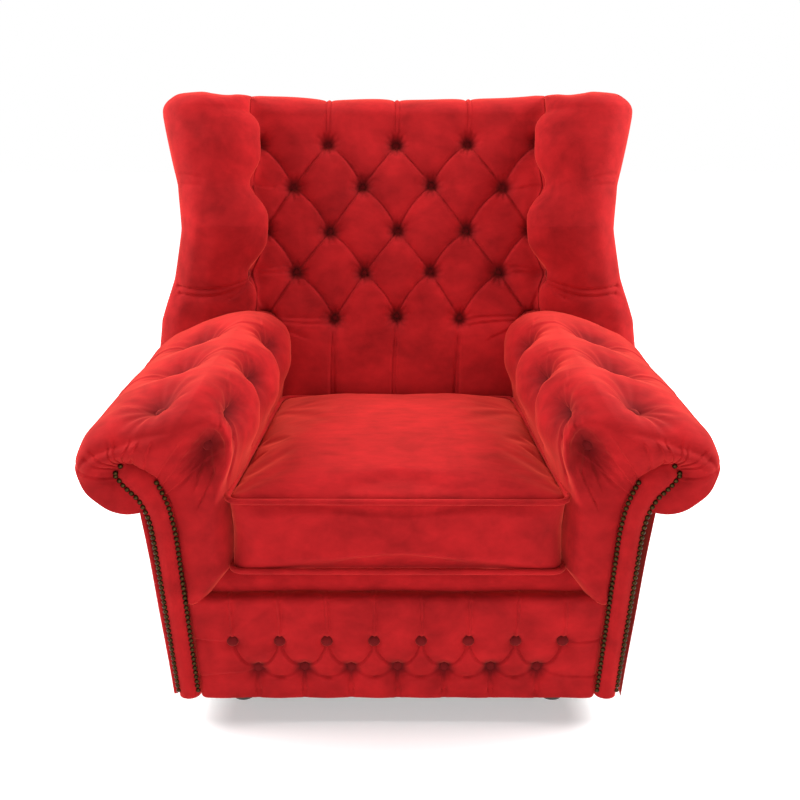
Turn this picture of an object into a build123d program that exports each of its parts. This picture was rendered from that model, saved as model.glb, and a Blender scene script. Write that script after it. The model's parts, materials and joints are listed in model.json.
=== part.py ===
"""Winged, deep-buttoned scroll-arm chair: hardwood frame, webbing, pads, covers, trim and a loose seat cushion.

Millimetres. +Z is up, the chair faces -Y, and the origin is on the floor under the middle of the chair.
"""

import os
from math import ceil, cos, radians, sin, tan

from build123d import *

# Overall size
overall_width = 1040  # across the two scroll arms
overall_depth = 800  # arm facings to the top edge of the outside back
overall_height = 1058  # floor to the top of the wings
foot_height = 60  # floor to the underside of the base

# Gaps between pieces
gap = 0.5  # between pads and what they press against
slide_gap = 3.0  # beside the loose cushion

# Base frame
scroll_overhang = 132  # how far a scroll stands out past the facing's foot
rail_height = 187
rail_thickness = 30
hem_thickness = 3  # cover turned under the rails
block_leg = 75  # legs of the triangular corner blocks
block_height = 60

# Back
back_rake = 14  # degrees from upright
post_thickness = 45
post_width = 62
top_rail_height = 60
outside_panel = 12  # outside back, board and cover
back_pad_thickness = 85
back_crown = 6  # extra thickness at its middle
back_pad_lap = 37  # how far the inside back covers each post
back_cap = 30  # padding over the top rail
back_roll = 8  # how far the roll at its top stands above the frame's corner

# Wings, measured square to the back frame and across the chair
wing_depth_bottom, wing_depth_middle, wing_depth_top = 108, 152, 165
wing_in_bottom, wing_in_middle, wing_in_top = 18, 58, 32  # in from the widest point of the arms
wing_lap = 110  # how far a wing reaches down behind the arm's crest
wing_board_rise = 150  # the board starts this far above the wing's lower end
wing_swell = 1.04  # how far the middle of a wing's front stands past its edges
wing_shoulder = 78  # depth where a wing meets the inside back
wing_round = 50  # rounding at the wing's top end
wing_board_thickness = 24
wing_board_depth = 60

# Arms, seen from the front
arm_width = 238  # seat to the widest point of the scroll, at the front
seat_taper = 30  # how much each arm pad closes in on the seat towards the back
arm_shoulder_z = 545
arm_bulge, arm_bulge_z = 26, 462  # how far the pad swells over the seat, and from what height
arm_crest_in, arm_crest_z = 32, 624  # the crest, out from the seat side of the pad
arm_brow_in, arm_brow_z = 56, 576  # where the sloping top turns down, in from the widest point
scroll_z = 519  # height of the widest point of the scroll
scroll_under_in, scroll_under_z = 89, 429
arm_front_round = 40
arm_rail_thickness = 30
tack_rail_height = 25
outside_arm = 8

# Facing: the slim scroll-shaped panel on each arm front
facing_width = 38
facing_thickness = 17
facing_lean = 14  # how far it leans out between the floor end and the neck
facing_neck_z = 385
facing_head_out, facing_head_z = 45, 508  # out from the facing's foot
facing_tip_out, facing_tip_z = 73, 492
throat_bend = 14  # how tightly the outer edge turns under the head
facing_inset = 5  # facing to the edge of the board behind it
board_thickness = 35

# Seat
deck_thickness = 51
lip_depth = 60
lip_top_lap, lip_bottom_lap = 12, 40  # how far the lip reaches in behind each arm pad
cushion_thickness = 138
cushion_crown = 32
cushion_draw = 4  # how far its border draws in between its edges
piping_radius = 4.5
piping_corner = 28
strap_width, strap_thickness = 50, 2.5
seat_strap_count = 5
back_strap_count = 5

# Buttons and tufts
button_radius, button_height = 11, 6
tuft_radius, tuft_depth = 36, 40
border_tuft_radius, border_tuft_depth = 20, 12
pleat_width, pleat_depth = 16, 12
arm_tuft_front, arm_tuft_pitch = 100, 177  # inner row of arm buttons, back from the front
arm_tuft_stagger = 44  # outer row behind the inner row
back_rows = 5
back_row_share, lowest_row_share = 0.11, 0.448  # of the height of the back frame
back_margin = 28  # last button to the edge of the inside back
border_row = 59
border_margin = 66  # last button to the facing
border_upper_count = 8
border_lower_z = 64  # lower button row above the base's underside

# Nails, feet, bolts and bottom cloth
nail_radius, nail_height, nail_pitch = 4.6, 3, 11
nail_inset = 5
foot_radius_top, foot_radius_belly = 26, 30
foot_inset = 100  # facing's foot to the centre of a foot
foot_setback = 88  # base front to the centre of a front foot
bolt_radius, bolt_bury = 4, 40
dust_cover_thickness = 1.5

# Places that follow from the sizes above
front_y = -overall_depth / 2
base_z = foot_height
rail_z = base_z + hem_thickness
knee_z = rail_z + rail_height  # where the back frame starts to rake, level with the rail tops
deck_z = knee_z + strap_thickness + gap
seat_z = deck_z + deck_thickness + gap  # what the cushion rests on
pad_out = strap_thickness + gap  # pads start clear of the webbing on the back frame
scroll_x = overall_width / 2
base_half_width = scroll_x - scroll_overhang  # centre to the outer edge of a facing's foot
side_outer_x = base_half_width - facing_inset
side_inner_x = side_outer_x - rail_thickness
post_inner_x = side_inner_x - post_width
back_pad_half_width = side_inner_x - back_pad_lap
seat_front_half = scroll_x - arm_width
seat_back_half = seat_front_half - seat_taper
arm_crest_x = seat_front_half + arm_crest_in
arm_brow_x = scroll_x - arm_brow_in
scroll_under_x = scroll_x - scroll_under_in
facing_head_x = base_half_width + facing_head_out
facing_tip_x = base_half_width + facing_tip_out
wing_out_bottom = scroll_x - wing_in_bottom
wing_out_middle = scroll_x - wing_in_middle
wing_out_top = scroll_x - wing_in_top
panel_foot = base_half_width + gap
panel_neck = panel_foot + facing_lean + facing_width / 3
lip_top_half = seat_front_half + lip_top_lap
lip_bottom_half = seat_front_half + lip_bottom_lap
foot_x = base_half_width - foot_inset
lean_sin, lean_cos = sin(radians(back_rake)), cos(radians(back_rake))
back_top = (overall_height - knee_z - (wing_depth_top - wing_round) * wing_swell * lean_sin) / lean_cos
panel_top = back_top - back_cap / 2
back_row = back_top * back_row_share
lowest_back_row = back_top * lowest_row_share
back_pitch = (back_pad_half_width - back_margin) / 2
knee_y = overall_depth / 2 - panel_top * lean_sin - (post_thickness + outside_panel) * lean_cos
facing_y = front_y + nail_height
facing_back_y = facing_y + facing_thickness
board_back_y = facing_back_y + board_thickness
forward = Vector(0, -lean_cos, lean_sin)  # square to the back frame


def at_y(y):
    """Places front-view points."""
    return lambda x, z: Vector(x, y, z)


def at_x(x):
    """Places side-view points."""
    return lambda y, z: Vector(x, y, z)


def at_z(z):
    """Places plan points."""
    return lambda x, y: Vector(x, y, z)


def on_back(x, up, out):
    """A point by its place across, up and out from the front of the raked back frame."""
    return Vector(x, knee_y + up * lean_sin - out * lean_cos, knee_z + up * lean_cos + out * lean_sin)


def outline(place, start, *steps):
    """A flat face. Each step is (end,) for a straight side or (middle, end) for an arc."""
    edges = []
    here = start
    for *middle, end in steps:
        if middle:
            edges.append(ThreePointArc(place(*here), place(*middle[0]), place(*end)))
        else:
            edges.append(Line(place(*here), place(*end)))
        here = end
    if here != start:
        edges.append(Line(place(*here), place(*start)))
    return Face(Wire(edges))


def block(x, y, z):
    """A box from its low and high limits on each axis."""
    face = outline(at_z(z[0]), (x[0], y[0]), ((x[1], y[0]),), ((x[1], y[1]),), ((x[0], y[1]),))
    return extrude(face, amount=z[1] - z[0], dir=(0, 0, 1))


def back_block(x, up, out):
    """A box set on the raked back frame."""
    def place(a, b):
        return on_back(a, b, out[0])
    face = outline(place, (x[0], up[0]), ((x[1], up[0]),), ((x[1], up[1]),), ((x[0], up[1]),))
    return extrude(face, amount=out[1] - out[0], dir=forward)


def quarter(centre, wide, high):
    """The middle point of a quarter of an ellipse."""
    return (centre[0] + wide * cos(radians(45)), centre[1] + high * sin(radians(45)))


def knee_band(out_front, out_rear, bottom_z, top, x0, x1):
    """A slab across the chair that stands upright to the knee and then follows the raked back."""
    def knee(out):
        return (knee_y - out, knee_z + out * tan(radians(back_rake / 2)))

    def tip(out):
        end = on_back(0, top, out)
        return (end.Y, end.Z)
    face = outline(
        at_x(x0), (knee_y - out_front, bottom_z), (knee(out_front),), (tip(out_front),),
        (tip(out_rear),), (knee(out_rear),), ((knee_y - out_rear, bottom_z),))
    return extrude(face, amount=x1 - x0, dir=(1, 0, 0))


def both(piece):
    """The piece on the chair's left (+X) and its mirror image on the right."""
    return {"left": piece, "right": mirror(piece, about=Plane.YZ)}


# Arms
def arm_inner_x(y):
    """The arm pads draw closer towards the back."""
    inside_back_y = knee_y - back_pad_thickness
    share = (y - front_y) / (inside_back_y - front_y)
    return seat_front_half + (seat_back_half - seat_front_half) * share


def arm_contour(y, inset):
    """The upholstered outside of an arm, from the seat over the crest and round the scroll."""
    inner = arm_inner_x(y) + inset
    crest = (arm_crest_x, arm_crest_z - inset)
    brow = (arm_brow_x - inset / 2, arm_brow_z - inset)
    outer = (scroll_x - inset, scroll_z)
    under = (scroll_under_x, scroll_under_z + inset / 2)
    return (inner, deck_z), [
        ((inner, arm_bulge_z),),
        ((inner - arm_bulge, arm_shoulder_z),),
        (quarter((crest[0], arm_shoulder_z), inner - arm_bulge - crest[0], crest[1] - arm_shoulder_z), crest),
        (brow,),
        (quarter((brow[0], scroll_z), outer[0] - brow[0], brow[1] - scroll_z), outer),
        (quarter((under[0], scroll_z), outer[0] - under[0], under[1] - scroll_z), under),
    ]


frame_inner_x = side_inner_x - 2 * gap  # inner face of the arm frame
frame_top_z = facing_head_z - facing_inset + gap
frame_neck_z = scroll_under_z + arm_rail_thickness + 4
frame_outer_x = facing_tip_x + gap


def arm_pad_section(y, inset, hollow):
    """The pad's section: solid across the arm front, and behind it wrapped round the arm frame."""
    start, steps = arm_contour(y, inset)
    around_frame = [
        (scroll_under_x, frame_neck_z), (frame_outer_x, frame_neck_z), (frame_outer_x, frame_top_z),
        (frame_inner_x, frame_top_z)] if hollow else [(panel_neck - 2 * gap, scroll_under_z + inset / 2)]
    closing = [(p,) for p in around_frame + [(frame_inner_x, deck_z)]]
    return outline(at_y(y), start, *steps, *closing)


def arm_envelope(grow):
    """The whole space an arm takes up, grown all round, for cutting what presses on it."""
    faces = []
    for y in (front_y, overall_depth / 2):
        start, steps = arm_contour(y, -grow)
        floor = deck_z - grow
        faces.append(outline(
            at_y(y), (start[0], floor), *steps, ((scroll_under_x, floor),)))
    return loft(faces, ruled=True)


def facing_outline(y, inset):
    """The facing's hooked scroll outline: up the inner edge, round the head, down the outer edge."""
    outer_foot = base_half_width - inset
    inner_foot = base_half_width - facing_width + inset
    inner_neck = inner_foot + facing_lean
    outer_neck = outer_foot + facing_lean + 4
    head = (facing_head_x, facing_head_z - inset)
    tip = (facing_tip_x - inset, facing_tip_z)
    chin = (facing_tip_x - 13 - inset / 2, facing_tip_z - 24 + inset)
    rise = head[1] - facing_neck_z
    shoulder = quarter((head[0], facing_neck_z), inner_neck - head[0], rise)
    throat = ((chin[0] + outer_neck) / 2 - throat_bend, (chin[1] + facing_neck_z) / 2 + throat_bend)
    return outline(
        at_y(y), (inner_foot, base_z), ((inner_neck, facing_neck_z),), (shoulder, head),
        (tip, chin), (throat, (outer_neck, facing_neck_z)), ((outer_foot, base_z),))


def facing_edges():
    """The two long edges of the facing that carry nails, a nail's inset from its outline."""
    face = facing_outline(facing_y, nail_inset)
    return [e for e in face.outer_wire().edges() if e.center().Z > base_z + 1]


def nails():
    """Hexagonal-headed stand-ins for the domed nails, spaced along the facing's edges."""
    made = []
    for edge in facing_edges():
        count = ceil(edge.length / nail_pitch)
        for i in range(count):
            spot = edge.position_at((i + 0.5) / count)
            head = Plane(origin=spot, x_dir=(1, 0, 0), z_dir=(0, -1, 0))
            made.append(extrude(head * RegularPolygon(nail_radius, 6), amount=nail_height, taper=35))
    return made


def seat_lip(grow):
    """The padded roll under the front of the cushion."""
    top_z = seat_z - gap + grow
    face = outline(
        at_y(front_y - grow), (-lip_bottom_half - grow, deck_z - grow), ((lip_bottom_half + grow, deck_z - grow),),
        ((lip_top_half + grow, top_z),), ((-lip_top_half - grow, top_z),))
    return extrude(face, amount=lip_depth + 2 * grow, dir=(0, 1, 0))


def seat_cutter(spot, out, radius, depth, seat_radius):
    """A cone that narrows to a flat seat for a button, sunk along the surface's normal."""
    proud = depth / 2
    flare = radius + (radius - seat_radius) * proud / depth
    cone = Cone(seat_radius, flare, depth + proud, align=(Align.CENTER, Align.CENTER, Align.MIN))
    return Plane(origin=spot - out * depth, z_dir=out) * cone


def button(spot, out):
    """A covered button, low and narrowing to its crown."""
    crown = Cone(button_radius, button_radius * 0.6, button_height, align=(Align.CENTER, Align.CENTER, Align.MIN))
    return Plane(origin=spot, z_dir=out) * crown


def pleat_cutter(start, end, out, width, depth):
    """A straight V-shaped fold between two points of a surface."""
    along = end - start
    side = along.cross(out).normalized() * width
    top = start + out * depth
    face = Face(Wire.make_polygon([top + side, top - side, start - out * depth]))
    return extrude(face, amount=along.length, dir=along)


parts = {}


def add(name, *solids):
    """Keeps a node's solids under its name."""
    parts[name] = list(solids)


def add_both(name, piece):
    """Keeps a handed pair of nodes."""
    for side, solid in both(piece).items():
        add(f"{side}_{name}", solid)


# Base frame
rail_back_y = knee_y + rail_thickness
front_rail_y = board_back_y - rail_thickness
front_rail_half = base_half_width - facing_width + facing_inset
rail_span_z = (rail_z, knee_z)
add("front_seat_rail", block((-front_rail_half, front_rail_half), (front_rail_y, board_back_y), rail_span_z))
add("rear_seat_rail", block((-post_inner_x, post_inner_x), (knee_y, rail_back_y), rail_span_z))
add_both("side_seat_rail", block((side_inner_x, side_outer_x), (board_back_y, knee_y + post_thickness), rail_span_z))


def corner_block(x, y, toward_x, toward_y):
    """A triangular block glued into a corner of the seat frame, bored for the foot's bolt."""
    face = outline(at_z(rail_z), (x, y), ((x + toward_x * block_leg * 2, y),), ((x, y + toward_y * block_leg * 2),))
    return extrude(face, amount=block_height, dir=(0, 0, 1))


front_foot_y = front_y + foot_setback
rear_foot_y = knee_y - foot_setback + rail_thickness
foot_spots = [(sx * foot_x, y) for y in (front_foot_y, rear_foot_y) for sx in (1, -1)]


def foot_bolt(spot, radius):
    """A hanger bolt from a foot up into its corner block."""
    bottom = foot_height - bolt_bury / 2
    rod = Cylinder(radius, bolt_bury * 1.5, align=(Align.CENTER, Align.CENTER, Align.MIN))
    return Pos(spot[0], spot[1], bottom) * rod


def foot(spot):
    """A low turned foot: a collar, a swelling belly and a flat sole."""
    half = outline(
        at_y(0), (0, 0), ((foot_radius_belly * 0.75, 0),), ((foot_radius_belly, foot_height * 0.4),),
        ((foot_radius_top, foot_height * 0.85),), ((foot_radius_top, rail_z),), ((0, rail_z),))
    return Pos(*spot, 0) * revolve(half, axis=Axis.Z) - foot_bolt(spot, bolt_radius + gap / 10)


blocks = []
for sx in (1, -1):
    for corner_y, toward in ((board_back_y, 1), (knee_y, -1)):
        blocks.append(corner_block(sx * side_inner_x, corner_y, -sx, toward))
bolts_fit = [foot_bolt(spot, bolt_radius + gap / 10) for spot in foot_spots]
add("corner_blocks", *[b - bolts_fit for b in blocks])
for (spot, name) in zip(foot_spots, ("front_left", "front_right", "rear_left", "rear_right")):
    add(f"{name}_foot", foot(spot))
add("foot_bolts", *[foot_bolt(spot, bolt_radius) for spot in foot_spots])
cloth_half = side_outer_x - rail_thickness / 2
cloth = block((-cloth_half, cloth_half), (front_rail_y + 10, rail_back_y - 10), (rail_z - dust_cover_thickness, rail_z))
cloth -= [Pos(*s, rail_z) * Cylinder(foot_radius_top + gap, foot_height) for s in foot_spots]
add("dust_cover", cloth)

# Back frame
post_top = back_top - back_cap - gap
add_both("back_post", knee_band(0, -post_thickness, rail_z, post_top, post_inner_x, side_inner_x))
top_rail_span = (post_top - top_rail_height, post_top)
add("back_top_rail", back_block((-post_inner_x, post_inner_x), top_rail_span, (-post_thickness, 0)))
lower_rail_up = deck_thickness + strap_width
lower_rail_span = (lower_rail_up, lower_rail_up + top_rail_height)
add("back_lower_rail", back_block((-post_inner_x, post_inner_x), lower_rail_span, (-post_thickness, 0)))
strap_low = lower_rail_span[1] + strap_width
strap_step = (post_top - top_rail_height - strap_low) / back_strap_count
strap_reach = back_pad_half_width - gap
back_straps = []
for i in range(back_strap_count):
    up = strap_low + i * strap_step
    back_straps.append(back_block((-strap_reach, strap_reach), (up, up + strap_width), (0, strap_thickness)))
add("back_webbing", *back_straps)

# Arm frames
add_both("arm_front_board", extrude(facing_outline(facing_back_y, facing_inset), amount=board_thickness, dir=(0, 1, 0))
         & block((0, scroll_x), (front_y, knee_y), (rail_z, overall_height)))
arm_rail_x = (side_inner_x, frame_outer_x - 8)
arm_rail_z = (frame_top_z - 6 - arm_rail_thickness, frame_top_z - 6)
behind_back = knee_band(-post_thickness, -overall_depth, 0, overall_height, -overall_width, overall_width)
arm_rail = block(arm_rail_x, (board_back_y, overall_depth / 2), arm_rail_z) - behind_back
add_both("arm_top_rail", arm_rail)
tack_z = seat_z - tack_rail_height
tack_rail = block((side_inner_x, side_outer_x), (board_back_y, overall_depth / 2), (tack_z, tack_z + tack_rail_height))
add_both("arm_tack_rail", tack_rail - behind_back)

# Arm pads with their buttons
arm_gap_x = side_inner_x + gap
beside_post = knee_band(pad_out, -overall_depth, 0, overall_height, -arm_gap_x, arm_gap_x)
nose = arm_front_round
front_stations = [(front_y, nose * 0.7), (front_y + nose * 0.3, nose * 0.2), (front_y + nose, 0), (board_back_y, 0)]
arm_front = loft([arm_pad_section(y, inset, False) for y, inset in front_stations], ruled=True)
arm_rest = loft([arm_pad_section(y, 0, True) for y in (board_back_y, overall_depth / 2)], ruled=True)
facing_room = extrude(facing_outline(front_y, -gap), amount=facing_back_y - front_y, dir=(0, 1, 0))
arm_board_room = extrude(facing_outline(facing_back_y, facing_inset - gap), amount=board_thickness, dir=(0, 1, 0))
arm_pad = arm_front + arm_rest
arm_slope = Vector(arm_crest_z - arm_brow_z, 0, arm_brow_x - arm_crest_x).normalized()
shoulder_out = Vector(-1, 0, 1).normalized()
front_out = Vector(0, -2, 1).normalized()
arm_seats = [(Vector(arm_crest_x, front_y, (arm_shoulder_z + arm_crest_z) / 2 - nose / 2), front_out)]
for i in range(3):
    inner_y = front_y + arm_tuft_front + i * arm_tuft_pitch
    reach = arm_inner_x(inner_y) - arm_bulge - arm_crest_x
    turn = quarter((arm_crest_x, arm_shoulder_z), reach, arm_crest_z - arm_shoulder_z)
    arm_seats.append((Vector(turn[0], inner_y, turn[1]), shoulder_out))
    top = Vector((arm_crest_x + arm_brow_x) / 2, inner_y + arm_tuft_stagger, (arm_crest_z + arm_brow_z) / 2)
    arm_seats.append((top, arm_slope))
arm_cuts = [seat_cutter(s, n, tuft_radius, tuft_depth, button_radius + gap) for s, n in arm_seats]
arm_pad = arm_pad - [behind_back, beside_post, facing_room, arm_board_room, seat_lip(gap)] - arm_cuts
add_both("arm_pad", arm_pad)
for side, mirrored in (("left", False), ("right", True)):
    buttons = [button(s - n * tuft_depth, n) for s, n in arm_seats]
    add(f"{side}_arm_buttons", *[mirror(b, about=Plane.YZ) if mirrored else b for b in buttons])

# Facings and nails
add_both("facing", extrude(facing_outline(facing_y, 0), amount=facing_thickness, dir=(0, 1, 0)))
nail_set = nails()
add("left_facing_nails", *nail_set)
add("right_facing_nails", *[mirror(n, about=Plane.YZ) for n in nail_set])

# Outside arm panels
panel_face = outline(
    at_y(facing_back_y), (panel_foot, base_z), ((panel_foot + outside_arm, base_z),),
    ((panel_neck + outside_arm, scroll_under_z - gap),), ((panel_neck, scroll_under_z - gap),))
outside_arm_panel = extrude(panel_face, amount=overall_depth, dir=(0, 1, 0)) - behind_back
add_both("outside_arm", outside_arm_panel)

# Inside back pad with its buttons
pad_low = deck_z + gap - knee_z
pad_place = {"crown": back_pad_thickness, "low": back_pad_thickness - 10}


def back_pad_section(x):
    """Side view of the inside back: a shallow crown that rolls over the top rail."""
    def place(up, out):
        return on_back(x, up, out)
    return outline(
        place, (pad_low, pad_out), ((pad_low, pad_place["low"]),),
        ((back_top * 0.5, pad_place["crown"] + back_crown), (back_top - back_cap * 1.4, pad_place["low"])),
        ((back_top - back_cap * 0.2, back_pad_thickness * 0.7), (back_top + back_roll, back_pad_thickness * 0.3)),
        ((back_top, -post_thickness),), ((post_top + gap, -post_thickness),),
        ((post_top + gap, pad_out),))


back_pad = extrude(back_pad_section(-back_pad_half_width), amount=2 * back_pad_half_width, dir=(1, 0, 0))
back_seats = []
for row in range(back_rows):
    up = lowest_back_row + row * back_row
    places = (-1.5, -0.5, 0.5, 1.5) if row % 2 else (-1, 0, 1) if row == 0 else (-2, -1, 0, 1, 2)
    for place in places:
        back_seats.append((place, row, on_back(place * back_pitch, up, pad_place["crown"])))
tufts = [seat_cutter(s, forward, tuft_radius, tuft_depth, button_radius + gap) for _, _, s in back_seats]
folds = []
for place, row, spot in back_seats:
    for near_place, near_row, near in back_seats:
        if near_row == row + 1 and abs(near_place - place) == 0.5:
            folds.append(pleat_cutter(spot, near, forward, pleat_width, pleat_depth))
    if row in (0, back_rows - 1):
        end_up = pad_low if row == 0 else back_top
        end = on_back(place * back_pitch, end_up, pad_place["low"])
        folds.append(pleat_cutter(spot, end, forward, pleat_width * 0.6, pleat_depth * 0.8))
arm_room = list(both(arm_envelope(gap)).values())
add("back_pad", (back_pad - arm_room) - (tufts + folds))
add("back_buttons", *[button(s - forward * tuft_depth, forward) for _, _, s in back_seats])

# Wings
wing_inner_x = back_pad_half_width + gap
beside_post_x = side_inner_x + gap


def wing_section(up, out_x, depth):
    """Plan of a wing at one height: flat behind, rounded outer edge, broad front, rounded inner shoulder."""
    def place(x, out):
        return on_back(x, up, out)
    wide = out_x - wing_inner_x
    return outline(
        place, (wing_inner_x, pad_out), ((beside_post_x, pad_out),), ((beside_post_x, -post_thickness),),
        ((out_x - wide * 0.08, -post_thickness),),
        ((out_x, depth * 0.45), (out_x - wide * 0.16, depth * 0.95)),
        ((out_x - wide * 0.5, depth * wing_swell), (wing_inner_x + wide * 0.16, depth * 0.95)),
        ((wing_inner_x + wide * 0.05, (depth + wing_shoulder) / 2), (wing_inner_x, wing_shoulder)))


wing_low = (arm_crest_z - knee_z) / lean_cos - wing_lap
wing_middle = (wing_low + back_top) / 2
wing_stations = [
    (wing_low, wing_out_bottom, wing_depth_bottom),
    (wing_low * 0.45 + wing_middle * 0.55, (wing_out_bottom + wing_out_middle) / 2 - 6, wing_depth_bottom + 12),
    (wing_middle, wing_out_middle, wing_depth_middle),
    (back_top - wing_round, wing_out_top, wing_depth_top),
    (back_top, wing_out_top - wing_round * 0.8, wing_depth_top - wing_round)]
wing_pad = loft([wing_section(*s) for s in wing_stations])
board_x = (side_inner_x, side_inner_x + wing_board_thickness)
board_up = (wing_low + wing_board_rise, back_top - wing_round * 0.8)
wing_board = back_block(board_x, board_up, (-post_thickness, wing_board_depth))
board_room = back_block(
    (board_x[0] - gap, board_x[1] + gap), (board_up[0] - gap, board_up[1] + gap),
    (-post_thickness, wing_board_depth + gap))
wing_seats = []
for row in (1, 3):
    spot = on_back(wing_inner_x + 22, lowest_back_row + row * back_row, wing_shoulder + 32)
    wing_seats.append((spot, (forward + Vector(-0.55, 0, 0)).normalized()))
wing_cuts = [seat_cutter(s, n, tuft_radius * 0.8, tuft_depth * 0.7, button_radius + gap) for s, n in wing_seats]
wing_pad = (wing_pad - arm_envelope(gap)) - [board_room] - wing_cuts
add_both("wing_pad", wing_pad)
add_both("wing_board", wing_board)
for side, mirrored in (("left", False), ("right", True)):
    buttons = [button(s - n * tuft_depth * 0.7, n) for s, n in wing_seats]
    add(f"{side}_wing_buttons", *[mirror(b, about=Plane.YZ) if mirrored else b for b in buttons])


# Outside back
back_band = knee_band(-post_thickness, -post_thickness - outside_panel, base_z, panel_top, 0, scroll_x)
wing_low_z = on_back(0, wing_low, -post_thickness).Z
wing_middle_z = on_back(0, wing_middle, -post_thickness).Z
wing_top_z = on_back(0, back_top - wing_round, -post_thickness).Z
back_edge = scroll_x - 20
neck_out = panel_neck + outside_arm
wing_meets_z = arm_crest_z - 30
half_outline = outline(
    at_y(knee_y), (0, base_z), ((panel_foot + outside_arm, base_z),), ((neck_out, scroll_under_z),),
    (quarter((neck_out, scroll_z), back_edge - neck_out, scroll_under_z + 20 - scroll_z), (back_edge, scroll_z)),
    ((wing_out_bottom - 24, wing_meets_z),), ((wing_out_middle - 14, wing_middle_z), (wing_out_top - 20, wing_top_z)),
    ((wing_out_top - 36, wing_top_z + wing_round * 0.62), (wing_out_top - 80, wing_top_z + wing_round * 0.85)),
    ((0, wing_top_z + wing_round * 0.85),))
half_back = extrude(half_outline, amount=overall_depth, dir=(0, 1, 0)) & back_band
add("outside_back", half_back + mirror(half_back, about=Plane.YZ))

# Seat: webbing, deck, lip and front border
seat_straps = []
strap_span = 2 * (seat_back_half - strap_width / 2)
for i in range(seat_strap_count):
    x = -strap_span / 2 + strap_span * i / (seat_strap_count - 1)
    seat_straps.append(block(
        (x - strap_width / 2, x + strap_width / 2), (front_rail_y, rail_back_y), (knee_z, knee_z + strap_thickness)))
add("seat_webbing", *seat_straps)
lip_back_y = front_y + lip_depth + gap
inside_back_y = knee_y - pad_place["low"] - 12


def seat_plan(z, front, back, side_gap):
    """The seat's tapered plan between the arm pads."""
    wide = arm_inner_x(front) - side_gap
    narrow = arm_inner_x(back) - side_gap
    return outline(at_z(z), (-wide, front), ((wide, front),), ((narrow, back),), ((-narrow, back),))


add("seat_deck", extrude(seat_plan(deck_z, lip_back_y, inside_back_y, gap), amount=deck_thickness, dir=(0, 0, 1)))
lip = seat_lip(0)
add("seat_lip", fillet(lip.edges().filter_by(Axis.X).group_by(Axis.Y)[0], deck_thickness / 4))

border_y = front_rail_y - gap
border_half = base_half_width - facing_width - gap
border_top = knee_z + gap
border_top_half = border_half + facing_lean * (border_top - base_z) / (facing_neck_z - base_z)
border_front = front_y + 4
border_face = outline(
    at_y(border_front), (-border_half, base_z), ((border_half, base_z),), ((border_top_half, border_top),),
    ((-border_top_half, border_top),))
border = extrude(border_face, amount=border_y - border_front, dir=(0, 1, 0))
border_pitch = 2 * (border_half - border_margin) / (border_upper_count - 1)
ahead = Vector(0, -1, 0)
border_seats = []
for row, count in ((0, border_upper_count - 1), (1, border_upper_count)):
    for i in range(count):
        x = (i - (count - 1) / 2) * border_pitch
        border_seats.append((row, x, Vector(x, border_front, base_z + border_lower_z + row * border_row)))
cuts = [seat_cutter(s, ahead, border_tuft_radius, border_tuft_depth, button_radius + gap) for _, _, s in border_seats]
for row, x, spot in border_seats:
    end_z = knee_z if row else base_z
    cuts.append(pleat_cutter(spot, Vector(x, spot.Y, end_z), ahead, pleat_width * 0.3, pleat_depth * 0.4))
    for near_row, near_x, near in border_seats:
        if row == 0 and near_row == 1 and abs(near_x - x) < border_pitch:
            cuts.append(pleat_cutter(spot, near, ahead, pleat_width * 0.4, pleat_depth * 0.5))
add("front_border", border - cuts)
add("front_border_buttons", *[button(s - ahead * border_tuft_depth, ahead) for _, _, s in border_seats])

# Loose seat cushion with its piping
cushion_front = front_y + piping_radius
cushion_low = seat_z + gap / 2
cushion_high = cushion_low + cushion_thickness
pipes = {"bottom": cushion_low + piping_radius, "top": cushion_high}


def cushion_back(z):
    """Where the cushion's back edge stands, following the rake of the inside back."""
    out = back_pad_thickness + back_crown + slide_gap + piping_radius
    up = (z - knee_z - out * lean_sin) / lean_cos
    return on_back(0, up, out).Y


def cushion_section(y, crown):
    """Front view of the cushion at one depth: flat below, drawn-in borders, crowned top."""
    half = arm_inner_x(y) - slide_gap - piping_radius
    middle = (cushion_low + cushion_high) / 2
    return outline(
        at_y(y), (-half, cushion_low), ((half, cushion_low),),
        ((half - cushion_draw, middle), (half, cushion_high)), ((0, cushion_high + crown), (-half, cushion_high)),
        ((cushion_draw - half, middle), (-half, cushion_low)))


def piping(z, radius):
    """The corded seam round the cushion's edge."""
    plan = seat_plan(z, cushion_front, cushion_back(z), slide_gap + piping_radius)
    loop = plan.fillet_2d(piping_corner, plan.vertices()).outer_wire()
    ring = Plane(origin=loop @ 0, z_dir=loop % 0) * Circle(radius)
    return sweep(ring, path=loop)


rear_edge = cushion_back(cushion_high)
cushion = loft([
    cushion_section(cushion_front, cushion_crown * 0.3),
    cushion_section((cushion_front + rear_edge) / 2, cushion_crown),
    cushion_section(rear_edge, cushion_crown * 0.5)])
tall = [e for e in cushion.edges() if e.bounding_box().size.Z > cushion_thickness / 2]
cushion = fillet(tall, piping_corner)
rear_room = outline(
    at_x(-seat_front_half), (cushion_back(cushion_low), cushion_low), ((rear_edge, cushion_high),),
    ((cushion_back(overall_height), overall_height),), ((overall_depth, overall_height),), ((overall_depth, cushion_low),))
cushion -= extrude(rear_room, amount=2 * seat_front_half, dir=(1, 0, 0))
cushion -= [piping(z, piping_radius + gap) for z in pipes.values()]
add("seat_cushion", cushion)
for name, z in pipes.items():
    add(f"cushion_{name}_piping", piping(z, piping_radius))

os.makedirs("parts", exist_ok=True)
for name, solids in parts.items():
    shape = solids[0] if len(solids) == 1 else Compound(children=solids)
    export_step(shape, f"parts/{name}.step")
print(len(parts), "nodes")
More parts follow.
